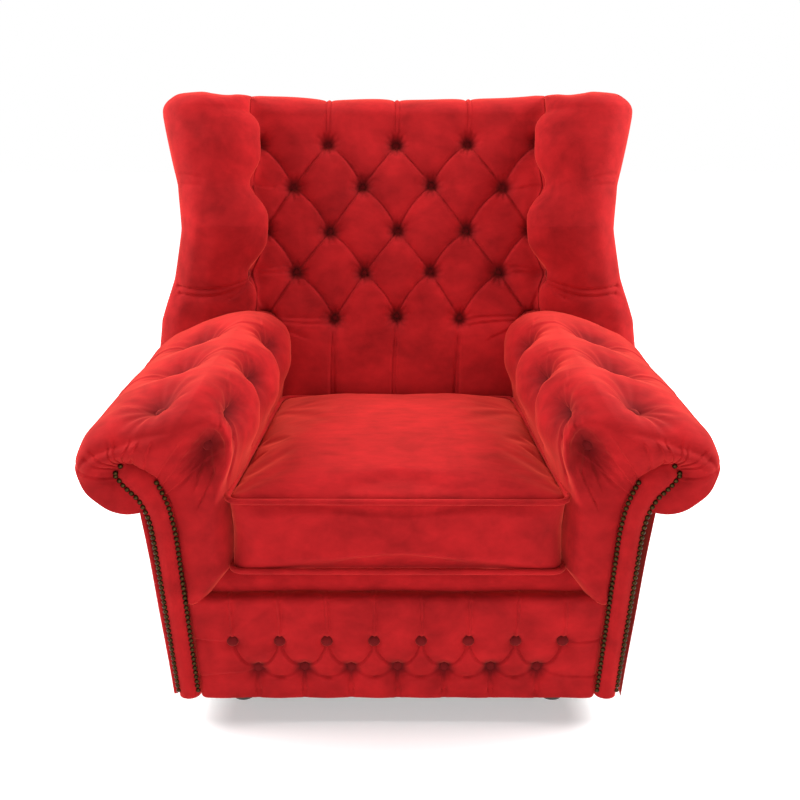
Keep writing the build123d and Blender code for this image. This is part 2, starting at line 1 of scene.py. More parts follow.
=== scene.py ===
# %% [markdown]
# # A winged, deep-buttoned velvet armchair
# The chair is a hardwood frame padded all over and covered in one red velvet. What the eye reads is the
# buttoning: each button is pulled deep into the padding, and the spare cloth between buttons is laid in
# folds. The frame file gives every piece its place, so this lesson only dresses it.

# %% Load the frame
import json
from math import cos, pi, radians, sin, tau

import bmesh
import bpy
import numpy as np
from mathutils import Matrix, Vector


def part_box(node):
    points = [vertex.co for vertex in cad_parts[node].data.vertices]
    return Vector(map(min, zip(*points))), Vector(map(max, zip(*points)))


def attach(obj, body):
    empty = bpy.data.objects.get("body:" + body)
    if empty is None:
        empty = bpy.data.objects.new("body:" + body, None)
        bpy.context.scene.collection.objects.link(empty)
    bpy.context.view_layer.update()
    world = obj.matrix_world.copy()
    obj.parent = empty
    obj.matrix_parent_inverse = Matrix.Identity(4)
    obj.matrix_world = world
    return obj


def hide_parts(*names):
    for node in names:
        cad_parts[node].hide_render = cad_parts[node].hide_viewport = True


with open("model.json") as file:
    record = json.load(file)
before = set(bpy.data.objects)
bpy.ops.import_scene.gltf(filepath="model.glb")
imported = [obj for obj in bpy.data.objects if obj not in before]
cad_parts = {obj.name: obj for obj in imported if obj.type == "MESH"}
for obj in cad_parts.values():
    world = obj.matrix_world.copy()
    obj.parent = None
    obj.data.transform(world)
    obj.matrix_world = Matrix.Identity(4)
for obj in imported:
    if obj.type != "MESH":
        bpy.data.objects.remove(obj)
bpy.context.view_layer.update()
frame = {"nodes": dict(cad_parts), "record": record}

# %% [markdown]
# ## Camera
# The photograph looks down a little at the chair from straight in front. A 40.5 mm lens on a 36 mm sensor,
# about 1.7 m in front of the origin and just above the chair's top, gives the same converging arms.

# %% Camera
camera = bpy.data.objects.new("camera", bpy.data.cameras.new("camera"))
bpy.context.collection.objects.link(camera)
camera.data.sensor_width = 36
camera.data.lens = 40.5
camera.data.shift_x = 0.003
camera.location = (0, -1.719, 1.1)
camera.rotation_euler = (radians(70), 0, 0)
bpy.context.scene.camera = camera
print("camera at", tuple(camera.location))

# %% [markdown]
# ## Helpers for materials
# Colours are written as sRGB hex, the way a paint chart gives them, and one function turns them to the
# linear values that shaders need. One more function adds a node with its settings and links. A node tree
# could also be drawn by hand in the editor, but in code each material stays a few lines that can be read
# and changed.


# %% Material helpers
def linear(code):
    """An sRGB hex colour as linear RGBA."""
    parts = [int(code[i:i + 2], 16) / 255 for i in (1, 3, 5)]
    return (*[p / 12.92 if p <= 0.04045 else ((p + 0.055) / 1.055) ** 2.4 for p in parts], 1)


def add(tree, kind, inputs=None, **settings):
    """A node with its settings; an input is a value or another node's socket."""
    made = tree.nodes.new(kind)
    for key, value in settings.items():
        setattr(made, key, value)
    for key, value in (inputs or {}).items():
        if isinstance(value, bpy.types.NodeSocket):
            tree.links.new(value, made.inputs[key])
        else:
            made.inputs[key].default_value = value
    return made


def new_material(name):
    """An empty node material, its tree and its output."""
    made = bpy.data.materials.new(name)
    made.use_nodes = True
    made.node_tree.nodes.clear()
    return made, made.node_tree, made.node_tree.nodes.new("ShaderNodeOutputMaterial")


def ramp(tree, value, low, dark, high, light):
    """The colour socket of a ramp that goes from dark at low to light at high."""
    made = add(tree, "ShaderNodeValToRGB", {0: value})
    for element, place, colour in zip(made.color_ramp.elements, (low, high), (dark, light)):
        element.position = place
        element.color = linear(colour)
    return made.outputs[0]


def mixed(tree, share, first, second):
    """The colour socket of a mix of two colours."""
    return add(tree, "ShaderNodeMix", {0: share, 6: first, 7: second}, data_type="RGBA").outputs[2]


def seen_directly(tree):
    """A socket that is 1 for what is seen, also in a mirror or through glass, and 0 for other rays."""
    path = add(tree, "ShaderNodeLightPath").outputs
    shiny = add(tree, "ShaderNodeMath", {0: path["Is Camera Ray"], 1: path["Is Glossy Ray"]},
                operation="MAXIMUM")
    return add(tree, "ShaderNodeMath", {0: shiny.outputs[0], 1: path["Is Transmission Ray"]},
               operation="MAXIMUM").outputs[0]


# %% [markdown]
# ## Velvet
# Cotton velvet is a short upright pile. Seen along the pile it is deep and dark, seen across it is bright,
# and where hands have brushed the pile the other way it shows cloudy patches. A sheen layer gives the
# bright edges, two sizes of noise give the brushed patches, and a fine bump stands for the pile. The pile
# is really about 0.3 mm, too fine to show, so it is drawn at about 2 mm.


# %% Velvet material
def velvet(name, deep, middle, bright):
    made, tree, out = new_material(name)
    place = add(tree, "ShaderNodeTexCoord").outputs["Object"]
    clouds = add(tree, "ShaderNodeTexNoise", {"Vector": place, "Scale": 11, "Detail": 6, "Roughness": 0.62,
                                              "Distortion": 0.5})
    strokes_place = add(tree, "ShaderNodeMapping", {"Vector": place, "Rotation": (0.5, 0.3, 0.6),
                                                    "Scale": (22, 70, 34)})
    strokes = add(tree, "ShaderNodeTexNoise", {"Vector": strokes_place.outputs[0], "Scale": 1, "Detail": 4,
                                               "Roughness": 0.6})
    blend = add(tree, "ShaderNodeMix", {0: 0.4, 2: clouds.outputs[0], 3: strokes.outputs[0]})
    nap = ramp(tree, blend.outputs[0], 0.33, middle, 0.64, bright)
    # The attribute read here is painted shade: it mixes the deep colour into folds and dimples by their
    # depth.
    painted_recess_shade = add(tree, "ShaderNodeAttribute", attribute_name="painted_recess_shade")
    colour = mixed(tree, painted_recess_shade.outputs["Fac"], nap, linear(deep))
    pile = add(tree, "ShaderNodeTexNoise", {"Vector": place, "Scale": 480, "Detail": 2})
    ruffle = add(tree, "ShaderNodeTexNoise", {"Vector": place, "Scale": 55, "Detail": 4})
    height = add(tree, "ShaderNodeMix", {0: 0.6, 2: pile.outputs[0], 3: ruffle.outputs[0]})
    bump = add(tree, "ShaderNodeBump", {"Height": height.outputs[0], "Strength": 0.25, "Distance": 0.0015})
    shader = add(tree, "ShaderNodeBsdfPrincipled", {
        "Base Color": colour, "Roughness": 0.92, "Specular IOR Level": 0.18, "Sheen Weight": 0.75,
        "Sheen Roughness": 0.38, "Sheen Tint": linear("#FF5C4A"), "Normal": bump.outputs[0]})
    tree.links.new(shader.outputs[0], out.inputs[0])
    return made


# The first colour, #330205, is painted shade for the folds and dimples.
red_velvet = velvet("red_cotton_velvet", "#330205", "#860A0E", "#B2171B")
# The buttons are covered in the same red velvet; these darker colours are painted shade of the dimples they
# sit in.
button_velvet = velvet("button_velvet", "#3A0306", "#560609", "#700B0E")
print("made", red_velvet.name, button_velvet.name)

# %% [markdown]
# ## Wood, brass, cloth and steel
# The frame is planed beech, the feet are stained hardwood under lacquer, the nails are antique brass with
# dark lacquer left round the heads, and the webbing and bottom cloth are plain weaves. The nails' brass is
# also painted darker than the metal, as painted shade along their close-set row.


# %% Other materials
def grained(name, dark, light, grain_mm, roughness, coat):
    made, tree, out = new_material(name)
    place = add(tree, "ShaderNodeTexCoord").outputs["Object"]
    stretch = add(tree, "ShaderNodeMapping", {"Vector": place, "Scale": (1, 1, 0.12)})
    rings = add(tree, "ShaderNodeTexNoise", {"Vector": stretch.outputs[0], "Scale": 1000 / grain_mm,
                                             "Detail": 6})
    tone = ramp(tree, rings.outputs[0], 0.3, dark, 0.7, light)
    bump = add(tree, "ShaderNodeBump", {"Height": rings.outputs[0], "Strength": 0.15, "Distance": 0.0006})
    shader = add(tree, "ShaderNodeBsdfPrincipled", {
        "Base Color": tone, "Roughness": roughness, "Coat Weight": coat, "Coat Roughness": 0.2,
        "Normal": bump.outputs[0]})
    tree.links.new(shader.outputs[0], out.inputs[0])
    return made


def woven(name, dark, light, thread_mm):
    made, tree, out = new_material(name)
    place = add(tree, "ShaderNodeTexCoord").outputs["Object"]
    wave = {"Vector": place, "Scale": 1000 / thread_mm / tau, "Distortion": 0.4}
    warp, weft = [add(tree, "ShaderNodeTexWave", wave, bands_direction=way).outputs[1] for way in "XY"]
    weave = add(tree, "ShaderNodeMath", {0: warp, 1: weft}, operation="MULTIPLY")
    tone = mixed(tree, weave.outputs[0], linear(dark), linear(light))
    bump = add(tree, "ShaderNodeBump", {"Height": weave.outputs[0], "Strength": 0.3, "Distance": 0.0008})
    shader = add(tree, "ShaderNodeBsdfPrincipled", {"Base Color": tone, "Roughness": 0.9,
                                                    "Normal": bump.outputs[0]})
    tree.links.new(shader.outputs[0], out.inputs[0])
    return made


def metal(name, dark, light, roughness):
    made, tree, out = new_material(name)
    place = add(tree, "ShaderNodeTexCoord").outputs["Object"]
    spots = add(tree, "ShaderNodeTexNoise", {"Vector": place, "Scale": 260, "Detail": 3})
    tone = mixed(tree, spots.outputs[0], linear(dark), linear(light))
    shader = add(tree, "ShaderNodeBsdfPrincipled", {"Base Color": tone, "Metallic": 1,
                                                    "Roughness": roughness})
    tree.links.new(shader.outputs[0], out.inputs[0])
    return made


beech = grained("planed_beech", "#9C7348", "#C79E6D", 6, 0.6, 0)
stained_wood = grained("stained_hardwood", "#120906", "#2A170D", 5, 0.55, 0.1)
# The nails' dark colours are partly antique brass and partly painted shade along the close-set row.
antique_brass = metal("antique_brass", "#0C0804", "#46341A", 0.24)
plated_steel = metal("zinc_plated_steel", "#8C8F92", "#B9BCBE", 0.35)
jute = woven("jute_webbing", "#6B5530", "#A98C58", 4)
bottom_cloth = woven("black_bottom_cloth", "#0B0B0B", "#1B1B1B", 2)
platform_cloth = woven("red_platform_cloth", "#4C060B", "#7C1118", 2)
finishes = {"frame_wood": beech, "feet": stained_wood, "nails": antique_brass, "bolts": plated_steel,
            "webbing": jute, "bottom_cloth": bottom_cloth, "deck_cloth": platform_cloth, "velvet": red_velvet,
            "button_velvet": button_velvet, "piping_velvet": red_velvet}
slot_of = {part["node"]: part["material_slot"] for part in frame["record"]["subparts"]}
for name, obj in frame["nodes"].items():
    obj.data.materials.clear()
    obj.data.materials.append(finishes[slot_of[name]])
print("finished", len(frame["nodes"]), "CAD nodes")

# %% [markdown]
# ## Sizes that the dressing shares with the frame
# Lengths here are in millimetres, because that is how the chair was measured. The back leans by 14 degrees
# from a knee at seat level, so a point on it is given by its place across, up and out from the leaning
# frame.

# %% Shared sizes
front_y, knee_y, knee_z = -400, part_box("rear_seat_rail")[0][1] * 1000, 250
lean_sin, lean_cos = sin(radians(14)), cos(radians(14))
seat_front_half, seat_back_half = 282, 250
seat_length = knee_y - 85 - front_y
both_sides = (("left", False), ("right", True))
print("knee of the back at y", round(knee_y, 1))


def on_back(x, up, out):
    """Points on the leaning back, as an array of rows."""
    y = knee_y + up * lean_sin - out * lean_cos
    return np.stack([x + 0 * up, y, knee_z + up * lean_cos + out * lean_sin], -1)


def leaning_y(z):
    """Where the leaning frame's face is at a height."""
    return knee_y + np.clip(z - knee_z, 0, None) * lean_sin / lean_cos


def seat_half(y):
    """Half the seat's width between the arms, which close in towards the back."""
    return seat_front_half + (seat_back_half - seat_front_half) * (y - front_y) / seat_length


def step(low, high, value):
    """0 below low, 1 above high and smooth between."""
    share = np.clip((value - low) / (high - low), 0, 1)
    return share * share * (3 - 2 * share)


# %% [markdown]
# ## Lines
# Most forms here start as a line through a few measured points. The line is cut into even steps, and its
# corners are rounded with a running average, which does for a line what wadding does for a frame.


# %% Line helpers
def run_along(line):
    """How far along a line each of its points is."""
    return np.concatenate([[0], np.cumsum(np.hypot(*np.diff(line, axis=0).T))])


def points_at(line, at):
    """Points on a line at given runs along it."""
    run = run_along(line)
    return np.stack([np.interp(at, run, line[:, i]) for i in (0, 1)], -1)


def evened(line, count):
    """The same line as a count of even points."""
    return points_at(line, np.linspace(0, run_along(line)[-1], count))


def softened(line, window):
    """A line with its corners rounded by a running average; beyond its ends it is taken to go on."""
    half = len(window) // 2
    longer = np.concatenate([2 * line[0] - line[half:0:-1], line, 2 * line[-1] - line[-2:-half - 2:-1]])
    return np.stack([np.convolve(longer[:, i], window / window.sum(), "valid") for i in (0, 1)], -1)


def rounded(points, reach, count):
    """Even points on a line through a few measured ones, with its corners rounded over a reach in mm."""
    points = np.array(points, float)
    half = max(int(reach / run_along(points)[-1] * 800), 1)
    return evened(softened(evened(points, 800), np.hanning(2 * half + 3)[1:-1]), count)


# %% [markdown]
# ## Buttoning as relief
# Deep buttoning can be sculpted, simulated or worked out. Working it out keeps every fold where the
# photograph has it: each button sinks a dimple, each fold between two buttons is a soft valley with a
# sharp line in it, and one side of the fold laps over the other. The relief is then raised on a grid that
# follows the padded form.


# %% Relief helpers
def dimples(u, v, buttons):
    """How deep the buttons pull the cloth in. A button is (u, v, depth, reach)."""
    sunk = np.zeros_like(u)
    for bu, bv, depth, reach in buttons:
        away = np.hypot(u - bu, v - bv)
        turn = np.arctan2(v - bv, u - bu)
        gathers = 1.2 * np.exp(-((away - 0.6 * reach) / (0.3 * reach)) ** 2) * np.cos(11 * turn + bu)
        bowl = 0.4 * np.exp(-(1.9 * away / reach) ** 2) + 0.6 * np.exp(-1.7 * away / reach)
        sunk = np.maximum(sunk, depth * bowl + gathers * (depth > 20))
    return sunk


def folds(u, v, lines):
    """How deep folds lie and lap over. A line is (u, v, u, v, depth, width, lap and maybe bow)."""
    sunk = np.zeros_like(u)
    lapped = np.zeros_like(u)
    for u0, v0, u1, v1, depth, width, lap, *bend in lines:
        du, dv = u1 - u0, v1 - v0
        length = np.hypot(du, dv)
        along = ((u - u0) * du + (v - v0) * dv) / length ** 2
        side = ((u - u0) * dv - (v - v0) * du) / length
        bow = (bend[0] if bend else 0.02) * length * np.sin(pi * np.clip(along, 0, 1))
        beyond = np.clip(np.maximum(-along, along - 1), 0, None) * length
        away = np.hypot(side - bow, beyond)
        ends = 0.62 + 0.38 * (2 * np.clip(along, 0, 1) - 1) ** 2
        valley = 0.5 * np.exp(-away / (9 * width)) + 0.5 * np.exp(-away / width)
        sunk = np.maximum(sunk, depth * ends * valley)
        inside = np.exp(-(beyond / 12) ** 2)
        lapped = lapped + lap * inside * np.tanh((side - bow) / 2) * np.exp(-np.abs(side - bow) / 9)
    return sunk, lapped


def buttoned(u, v, buttons, lines):
    """The relief of a buttoned surface in millimetres: 0 on the pillows and negative in dimples and folds."""
    deep = dimples(u, v, buttons)
    fold, lap = folds(u, v, lines)
    return lap - (np.clip(deep, 0, None) ** 3 + fold ** 3) ** (1 / 3)


def drift(u, v, size):
    """A slow, slight unevenness, as hand-laid wadding has."""
    return size * (np.sin(u / 61 + 1.3) * np.cos(v / 73) + 0.6 * np.sin(u / 29 - v / 37 + 0.4))


# %% [markdown]
# ## Padded patches
# A padded surface starts as a flat grid. Its points are carried to the padded form and then raised or sunk
# by the relief along the form's normal. The depth is kept as an attribute, and the velvet uses it for painted
# shade: its folds and dimples are painted darker, partly for the pile closing up there and partly for the
# shade that falls in them.


# %% Patch helper
def lay(place, relief, u, v):
    """Positions, normals and relief for points of a patch. place and relief take shares from 0 to 1."""
    near = 0.006
    along = place(u + near, v) - place(u - near, v)
    across = place(u, v + near) - place(u, v - near)
    normal = np.cross(along, across)
    normal /= np.maximum(np.linalg.norm(normal, axis=1, keepdims=True), 1e-9)
    height = relief(u, v)
    return place(u, v) + normal * height[:, None], normal, height


def finish_piece(bm, name, body, material, nodes):
    """Turns a bmesh into an object of the chair, in place of CAD nodes."""
    mesh = bpy.data.meshes.new(name)
    bm.to_mesh(mesh)
    bm.free()
    mesh.shade_smooth()
    obj = bpy.data.objects.new(name, mesh)
    bpy.context.collection.objects.link(obj)
    mesh.materials.append(material)
    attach(obj, body)
    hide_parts(*nodes)
    print(name, len(mesh.polygons), "faces")
    return obj


def patch(columns, rows, place, relief, mirrored=False, darkest=31):
    """A bmesh grid carried to a padded form, or to its mirror image; darkest is the depth painted in full
    shade.
    """
    bm = bmesh.new()
    bmesh.ops.create_grid(bm, x_segments=columns, y_segments=rows, size=1)
    flat = np.array([v.co[:] for v in bm.verts])
    spots, _, height = lay(place, relief, (flat[:, 0] + 1) / 2, (flat[:, 1] + 1) / 2)
    if mirrored:
        spots = spots * (-1, 1, 1)
    # This attribute is painted shade: 0 on the pillows, rising to 1 at the darkest depth.
    layer = bm.verts.layers.float.new("painted_recess_shade")
    depth = np.clip((-height - 5) / (darkest - 5), 0, 1)
    for vert, spot, deep in zip(bm.verts, spots / 1000, depth):
        vert.co = spot
        vert[layer] = deep
    if mirrored:
        bmesh.ops.reverse_faces(bm, faces=bm.faces)
    return bm


def close(bm, tuck):
    """Turns a patch's open edge in, to where tuck carries it, and closes it on the side that nobody sees."""
    rim = [e for e in bm.edges if e.is_boundary]
    turned_in = bmesh.ops.extrude_edge_only(bm, edges=rim)["geom"]
    verts = [g for g in turned_in if isinstance(g, bmesh.types.BMVert)]
    spots = tuck(np.array([v.co[:] for v in verts]) * 1000) / 1000
    for vert, spot in zip(verts, spots):
        vert.co = spot
    bmesh.ops.holes_fill(bm, edges=[e for e in bm.edges if e.is_boundary], sides=0)


# %% [markdown]
# ## Back and wings as one sweep
# The inside back and the wings read as one padded sweep: flat across the back, turning forward in a soft
# hollow, then rolling over the wing's front edge to the outside. A table of plan sections, one for each
# height, gives that form. The sections are drawn with straight lines first and then smoothed. Two buttons
# pinch each wing, and between them it swells over the back in lobes, so the inner edge moves in and out
# with the height.

# %% Sections of the sweep
roll_start, roll, over_length = 768, 52, 78
wing_inner, wing_pinch = 293, 299
pinch_heights = (438, 624)
section_heights = np.linspace(30, 800, 90)
section_gap = section_heights[1] - section_heights[0]
join_share, section_count = 90, 230


def wing_fullness(up):
    """How far a wing swells inwards at a height: it is pinched at its two buttons and full between them."""
    away = min(abs(up - height) for height in pinch_heights)
    most = np.interp(up, [380, 438, 500, 560, 640, 700, 735, 752, 770],
                     [0.2, 0.7, 1.1, 1.1, 0.66, 0.6, 0.56, 0.3, -0.35])
    return most * (1 - np.exp(-(away / 42) ** 2))


def section_at(up):
    """Half of the plan at a height: rows of (across, out), even along the back and then along the wing."""
    flat = 78 + 12 * sin(pi * min(up / roll_start, 1))
    outer = np.interp(up, [255, 340, 430, 530, 620, 700, 760, 812], [524, 514, 480, 457, 458, 472, 485, 488])
    depth = np.interp(up, [255, 340, 400, 455, 530, 620, 700, 812], [100, 104, 114, 130, 154, 160, 168, 162])
    full = wing_fullness(up)
    inner = wing_pinch - 31 * full
    hollow = inner + 6 + 16 * max(full, 0)
    rise = depth - flat
    corners = np.array([(0, flat), (hollow - 44, flat + 2), (hollow, flat + 0.08 * rise),
                        (inner + 8, flat + 0.3 * rise), (inner + 8 - 0.2 * rise, flat + 0.5 * rise),
                        (inner + 8, flat + 0.82 * rise), (inner + 40, depth + 4),
                        ((inner + outer) / 2, depth + 13), (outer - 42, depth + 4), (outer - 8, depth - 22),
                        (outer, depth - 52), (outer - 4, 0), (outer - 12, -44), (outer - 40, -57)])
    line = softened(evened(corners, 700), np.hanning(59))
    line[0, 0] = 0
    run = run_along(line)
    join = run[np.argmin(np.hypot(line[:, 0] - hollow, line[:, 1] - flat - 0.1 * rise))]
    on_wing = np.linspace(join, run[-1], section_count - join_share + 1)[1:]
    even = np.concatenate([np.linspace(0, join, join_share), on_wing])
    return np.column_stack([points_at(line, even), even])


sections = np.array([section_at(up) for up in section_heights])
print("plan sections", sections.shape)

# %% [markdown]
# ## From sections to a surface
# A point of the sweep is found between the four nearest entries of the table. Above the roll the cover
# turns over the top edge like a blanket over a rail, and runs on to the outside back.


# %% The sweep
def section_row(up):
    """The table row nearest to a height."""
    return int(round((up - section_heights[0]) / section_gap))


def on_section(share, up):
    """Across, out and run in mm, for a share counted in table columns and a height."""
    row = np.clip((up - section_heights[0]) / section_gap, 0, len(section_heights) - 1.001)
    column = np.clip(share, 0, section_count - 1.001)
    i, j = row.astype(int), column.astype(int)
    a, b = (row - i)[:, None], (column - j)[:, None]
    return ((sections[i, j] * (1 - b) + sections[i, j + 1] * b) * (1 - a)
            + (sections[i + 1, j] * (1 - b) + sections[i + 1, j + 1] * b) * a)


def run_at(across, out, up):
    """The run of the section point nearest to a place."""
    section = sections[section_row(up)]
    return section[np.argmin(np.hypot(section[:, 0] - across, section[:, 1] - out)), 2]


def sweep(side, share, along):
    """Points of the padded sweep, for table columns and a length along the cover from the knee."""
    x, out, _ = on_section(share, np.minimum(along, roll_start)).T
    turn = np.clip((along - roll_start) / roll, 0, pi / 2)
    over = np.clip((along - roll_start - roll * pi / 2) / over_length, 0, 1)
    lean = 1 - np.cos(turn)
    up = np.minimum(along, roll_start) + roll * np.sin(turn)
    level = np.interp(x, [0, 150, 240, 290, 330, 380, 415, 460, 500],
                      [-9, -7, -3, -1, -4, -14, -16, -18, -22])
    level -= 12 * step(80, 118, out) * step(400, 340, x)
    up += level * np.sin(turn) - 14 * over ** 2
    out = out - roll * lean * np.clip((out + 57) / 109, 0, 1)
    out = out + (-58 - out) * over
    at_corner = step(wing_inner + 40, wing_inner, x) * step(240, wing_inner, x)
    x = x - 34 * lean * step(440, 496, x) + 6 * lean * at_corner
    return on_back(side * x, up, out)


# %% [markdown]
# ## Buttons and folds of the back
# Five staggered rows of buttons draw the back into diamonds, and the diamonds carry on into the hollow
# beside each wing. Folds run between neighbouring buttons, straight up from the top row, straight down
# from the lowest row, and across from the wing buttons to the outer edge.

# %% Buttons and folds of the back
back_rows = [(346, 136, (-2.05, -1, 0, 1, 2.05)), (442, 144, (-1.5, -0.5, 0.5, 1.5)),
             (530, 147, (-1.93, -1, 0, 1, 1.93)), (624, 149, (-1.5, -0.5, 0.5, 1.5)),
             (713, 150, (-1.96, -1, 0, 1, 1.96))]
back_low = 40
back_length = roll_start + roll * pi / 2 + over_length
wobble = np.random.default_rng(11)
back_buttons = []
for row, (up, pitch, places) in enumerate(back_rows):
    for place in places:
        back_buttons.append((place * pitch + wobble.uniform(-3, 3), up + wobble.uniform(-3, 3), row, place))
lower_run, upper_run = [run_at(wing_pinch + 2, out, up) for out, up in zip((104, 116), pinch_heights)]
wing_buttons = [(side * run, up) for side in (-1, 1)
                for run, up in zip((lower_run, upper_run), pinch_heights)]
sweep_dimples = [(x, up, 34, 30) for x, up, _, _ in back_buttons]
sweep_dimples += [(x, up, 17, 34) for x, up in wing_buttons]
sweep_folds = []
for x, up, row, place in back_buttons:
    for near_x, near_up, near_row, near_place in back_buttons:
        if near_row == row + 1 and 0.3 < abs(near_place - place) < 0.7:
            outwards = 1 if near_place > place else -1
            bow = -0.07 * outwards if outwards * (x + near_x) > 0 else 0
            sweep_folds.append((x, up, near_x, near_up, 15, 2.2, 2.0 * outwards, bow))
    if row == 4 and abs(place) < 1.5:
        sweep_folds += [(x - 2, up, x - 6, back_length - 60, 8, 1.9, 0.9),
                        (x + 2, up, x + 5, back_length - 60, 6.5, 1.8, -0.8)]
    if row == 0 and abs(place) < 1.5:
        sweep_folds += [(x - 2.5, up, x - 6, back_low, 8, 1.9, 1.0),
                        (x + 3, up, x + 6, back_low, 6.5, 1.8, -0.8)]
for side in (-1, 1):
    low, high = side * lower_run, side * upper_run
    sweep_folds += [(low, 438, side * 222, 443, 8, 1.6, 1.4), (low, 445, side * 236, 457, 6, 1.4, 1.4),
                    (low, 433, low + side * 175, 414, 9, 1.7, -1.8 * side, 0.1 * side),
                    (low, 427, low + side * 165, 398, 8, 1.6, -1.4 * side, 0.12 * side),
                    (low, 427, low + side * 50, 385, 5, 1.5, 1.2), (low, 438, side * 280, 346, 8, 1.8, 1.4),
                    (low, 438, side * 276, 530, 8, 2.0, 1.2), (high, 624, side * 276, 530, 8, 2.0, 1.2),
                    (high, 624, side * 290, 713, 8, 2.0, 1.2), (high, 624, side * 262, 620, 5, 1.5, 1.2),
                    (side * 276, 348, side * 140, 344, 7, 1.6, 1.4),
                    (side * 276, 340, side * 150, 330, 6, 1.5, 1.4),
                    (side * 276, 334, side * 200, 302, 4, 1.5, 1.2),
                    (high + side * 185, 640, high + side * 130, 630, 2, 1.5, 1.0),
                    (high + side * 180, 620, high + side * 140, 616, 1.6, 1.4, 1.0)]
print(len(back_buttons), "back buttons,", len(wing_buttons), "wing buttons and", len(sweep_folds), "folds")


def sweep_relief(side, share, along):
    run = side * on_section(share, np.minimum(along, roll_start))[:, 2]
    return buttoned(run, along, sweep_dimples, sweep_folds) + drift(run, along, 1.6)


# %% [markdown]
# ## Inside back
# The sweep is cut where the back's cover is pulled through behind the wing, so that each frame piece keeps
# a cover of its own: one grid for the back and one for each wing. The edge of a cover is turned in to
# where it is tacked.


# %% Inside back
def back_share_of(u):
    return np.sign(u - 0.5), np.abs(2 * u - 1) * (join_share - 1)


def back_place(u, v):
    side, share = back_share_of(u)
    return sweep(side, share, back_low + v * (back_length - back_low))


def back_relief(u, v):
    side, share = back_share_of(u)
    return sweep_relief(side, share, back_low + v * (back_length - back_low))


def back_tuck(spots):
    """The back's edge goes in against the frame, and drops inside the top roll."""
    behind = (spots[:, 1] - knee_y) * lean_cos - (spots[:, 2] - knee_z) * lean_sin
    spots[:, 1] += np.where(behind > -10, 0, (-6 - behind) * lean_cos)
    spots[:, 2] -= np.where(behind > -10, 0, (-6 - behind) * lean_sin)
    spots[:, 1:] -= np.outer(spots[:, 2] > 930, (22, 45))
    return spots


bm = patch(282, 344, back_place, back_relief)
close(bm, back_tuck)
inside_back = finish_piece(bm, "inside_back", "chair", red_velvet, ["back_pad"])

# %% [markdown]
# ## Wings
# A wing's grid starts a few columns under the back's cover, as the real cover does, so that no gap shows
# in the hollow. The right wing is the left one's mirror image.

# %% Wings
wing_low, wing_first = 250, join_share - 13


def wing_points(u, v):
    return wing_first + u * (section_count - 1 - wing_first), wing_low + v * (back_length - wing_low)


def wing_place(u, v):
    return sweep(1, *wing_points(u, v))


def wing_relief(u, v):
    """The wing's first columns run on under the back's cover, so that no gap shows between the two."""
    share, along = wing_points(u, v)
    under = np.clip(join_share - 1 - share, 0, None)
    return sweep_relief(1, share, along) - under - 2 * (under > 0)


def wing_tuck(spots):
    """The wing cover's edges turn in towards its board."""
    up = np.clip((spots[:, 2] - knee_z) / lean_cos, wing_low + 30, 760)
    heart = on_back(np.sign(spots[:, 0]) * 390, up, np.full(len(spots), -10.0))
    return spots + (heart - spots) * 0.3


for side, mirrored in both_sides:
    bm = patch(170, 250, wing_place, wing_relief, mirrored=mirrored)
    close(bm, wing_tuck)
    wing = finish_piece(bm, side + "_wing", "chair", red_velvet, [side + "_wing_pad"])

# %% [markdown]
# ## Arms
# Each arm is a padded scroll: up from the seat, over a crest near the sitter, down a sloping top, round
# the outside and back under. Its cover also turns over the front, where it is gathered round the facing.
# One grid does it all: across the grid goes round the scroll, and along the grid goes from the facing,
# over the front and back to the wing.

# %% Arm form
seat_side_x = 257
arm_path = rounded([(seat_side_x, 250), (seat_side_x, 440), (246, 478), (225, 528), (224, 568), (238, 600),
                    (272, 622), (310, 628), (350, 622), (410, 606), (470, 583), (510, 550), (527, 504),
                    (512, 456), (474, 425), (442, 418), (412, 430), (398, 444)], 26, 240)
arm_run = run_along(arm_path)
arm_round = arm_run[-1]
facing_path = np.array([(359, 250), (364, 385), (371, 436), (393, 484), (432, 510), (452, 507), (462, 493),
                        (459, 477), (448, 467), (426, 450), (410, 425), (405, 400)], float)
facing_run = run_along(facing_path)


def run_near(x, z):
    return arm_run[np.argmin(np.hypot(arm_path[:, 0] - x, arm_path[:, 1] - z))]


shoulder_run, crest_run, outer_run = run_near(226, 545), run_near(312, 624), run_near(522, 512)
inner_row, outer_row = run_near(238, 596), run_near(398, 608)
arm_rear = 271
print("the arm's section is", round(arm_round), "mm round")

# %% [markdown]
# ## Front of the arm
# The cover doesn't turn over the front with one radius: it is fullest over the crest and tight under the
# scroll. A small table gives how far the edge is rounded, inwards and backwards, and how long the face
# below it is. The table is softened, because a sudden change would show as a ridge.

# %% Front of the arm
nose_marks = [0, shoulder_run, crest_run, outer_row, outer_run - 40, outer_run + 10, arm_round]
nose_sizes = ([26, 34, 74, 62, 34, 8, 4], [46, 56, 100, 90, 50, 16, 12], [100, 116, 112, 66, 50, 44, 40])
nose_runs = np.linspace(0, arm_round, 400)
soften = np.hanning(43)[1:-1] / np.hanning(43).sum()
nose_table = [np.convolve(np.pad(np.interp(nose_runs, nose_marks, size), 20, "edge"), soften, "valid")
              for size in nose_sizes]


def nose(run):
    """How far the front edge is rounded inwards and backwards, the rounding's length and the face's."""
    inset, depth, face = [np.interp(run, nose_runs, size) for size in nose_table]
    return inset, depth, pi / 2 * np.sqrt((inset ** 2 + depth ** 2) / 2), face


def front_start(run):
    """Where the cover starts at the facing, on the scale that is the chair's y along the straight part."""
    _, depth, length, face = nose(run)
    return front_y + depth - length - face


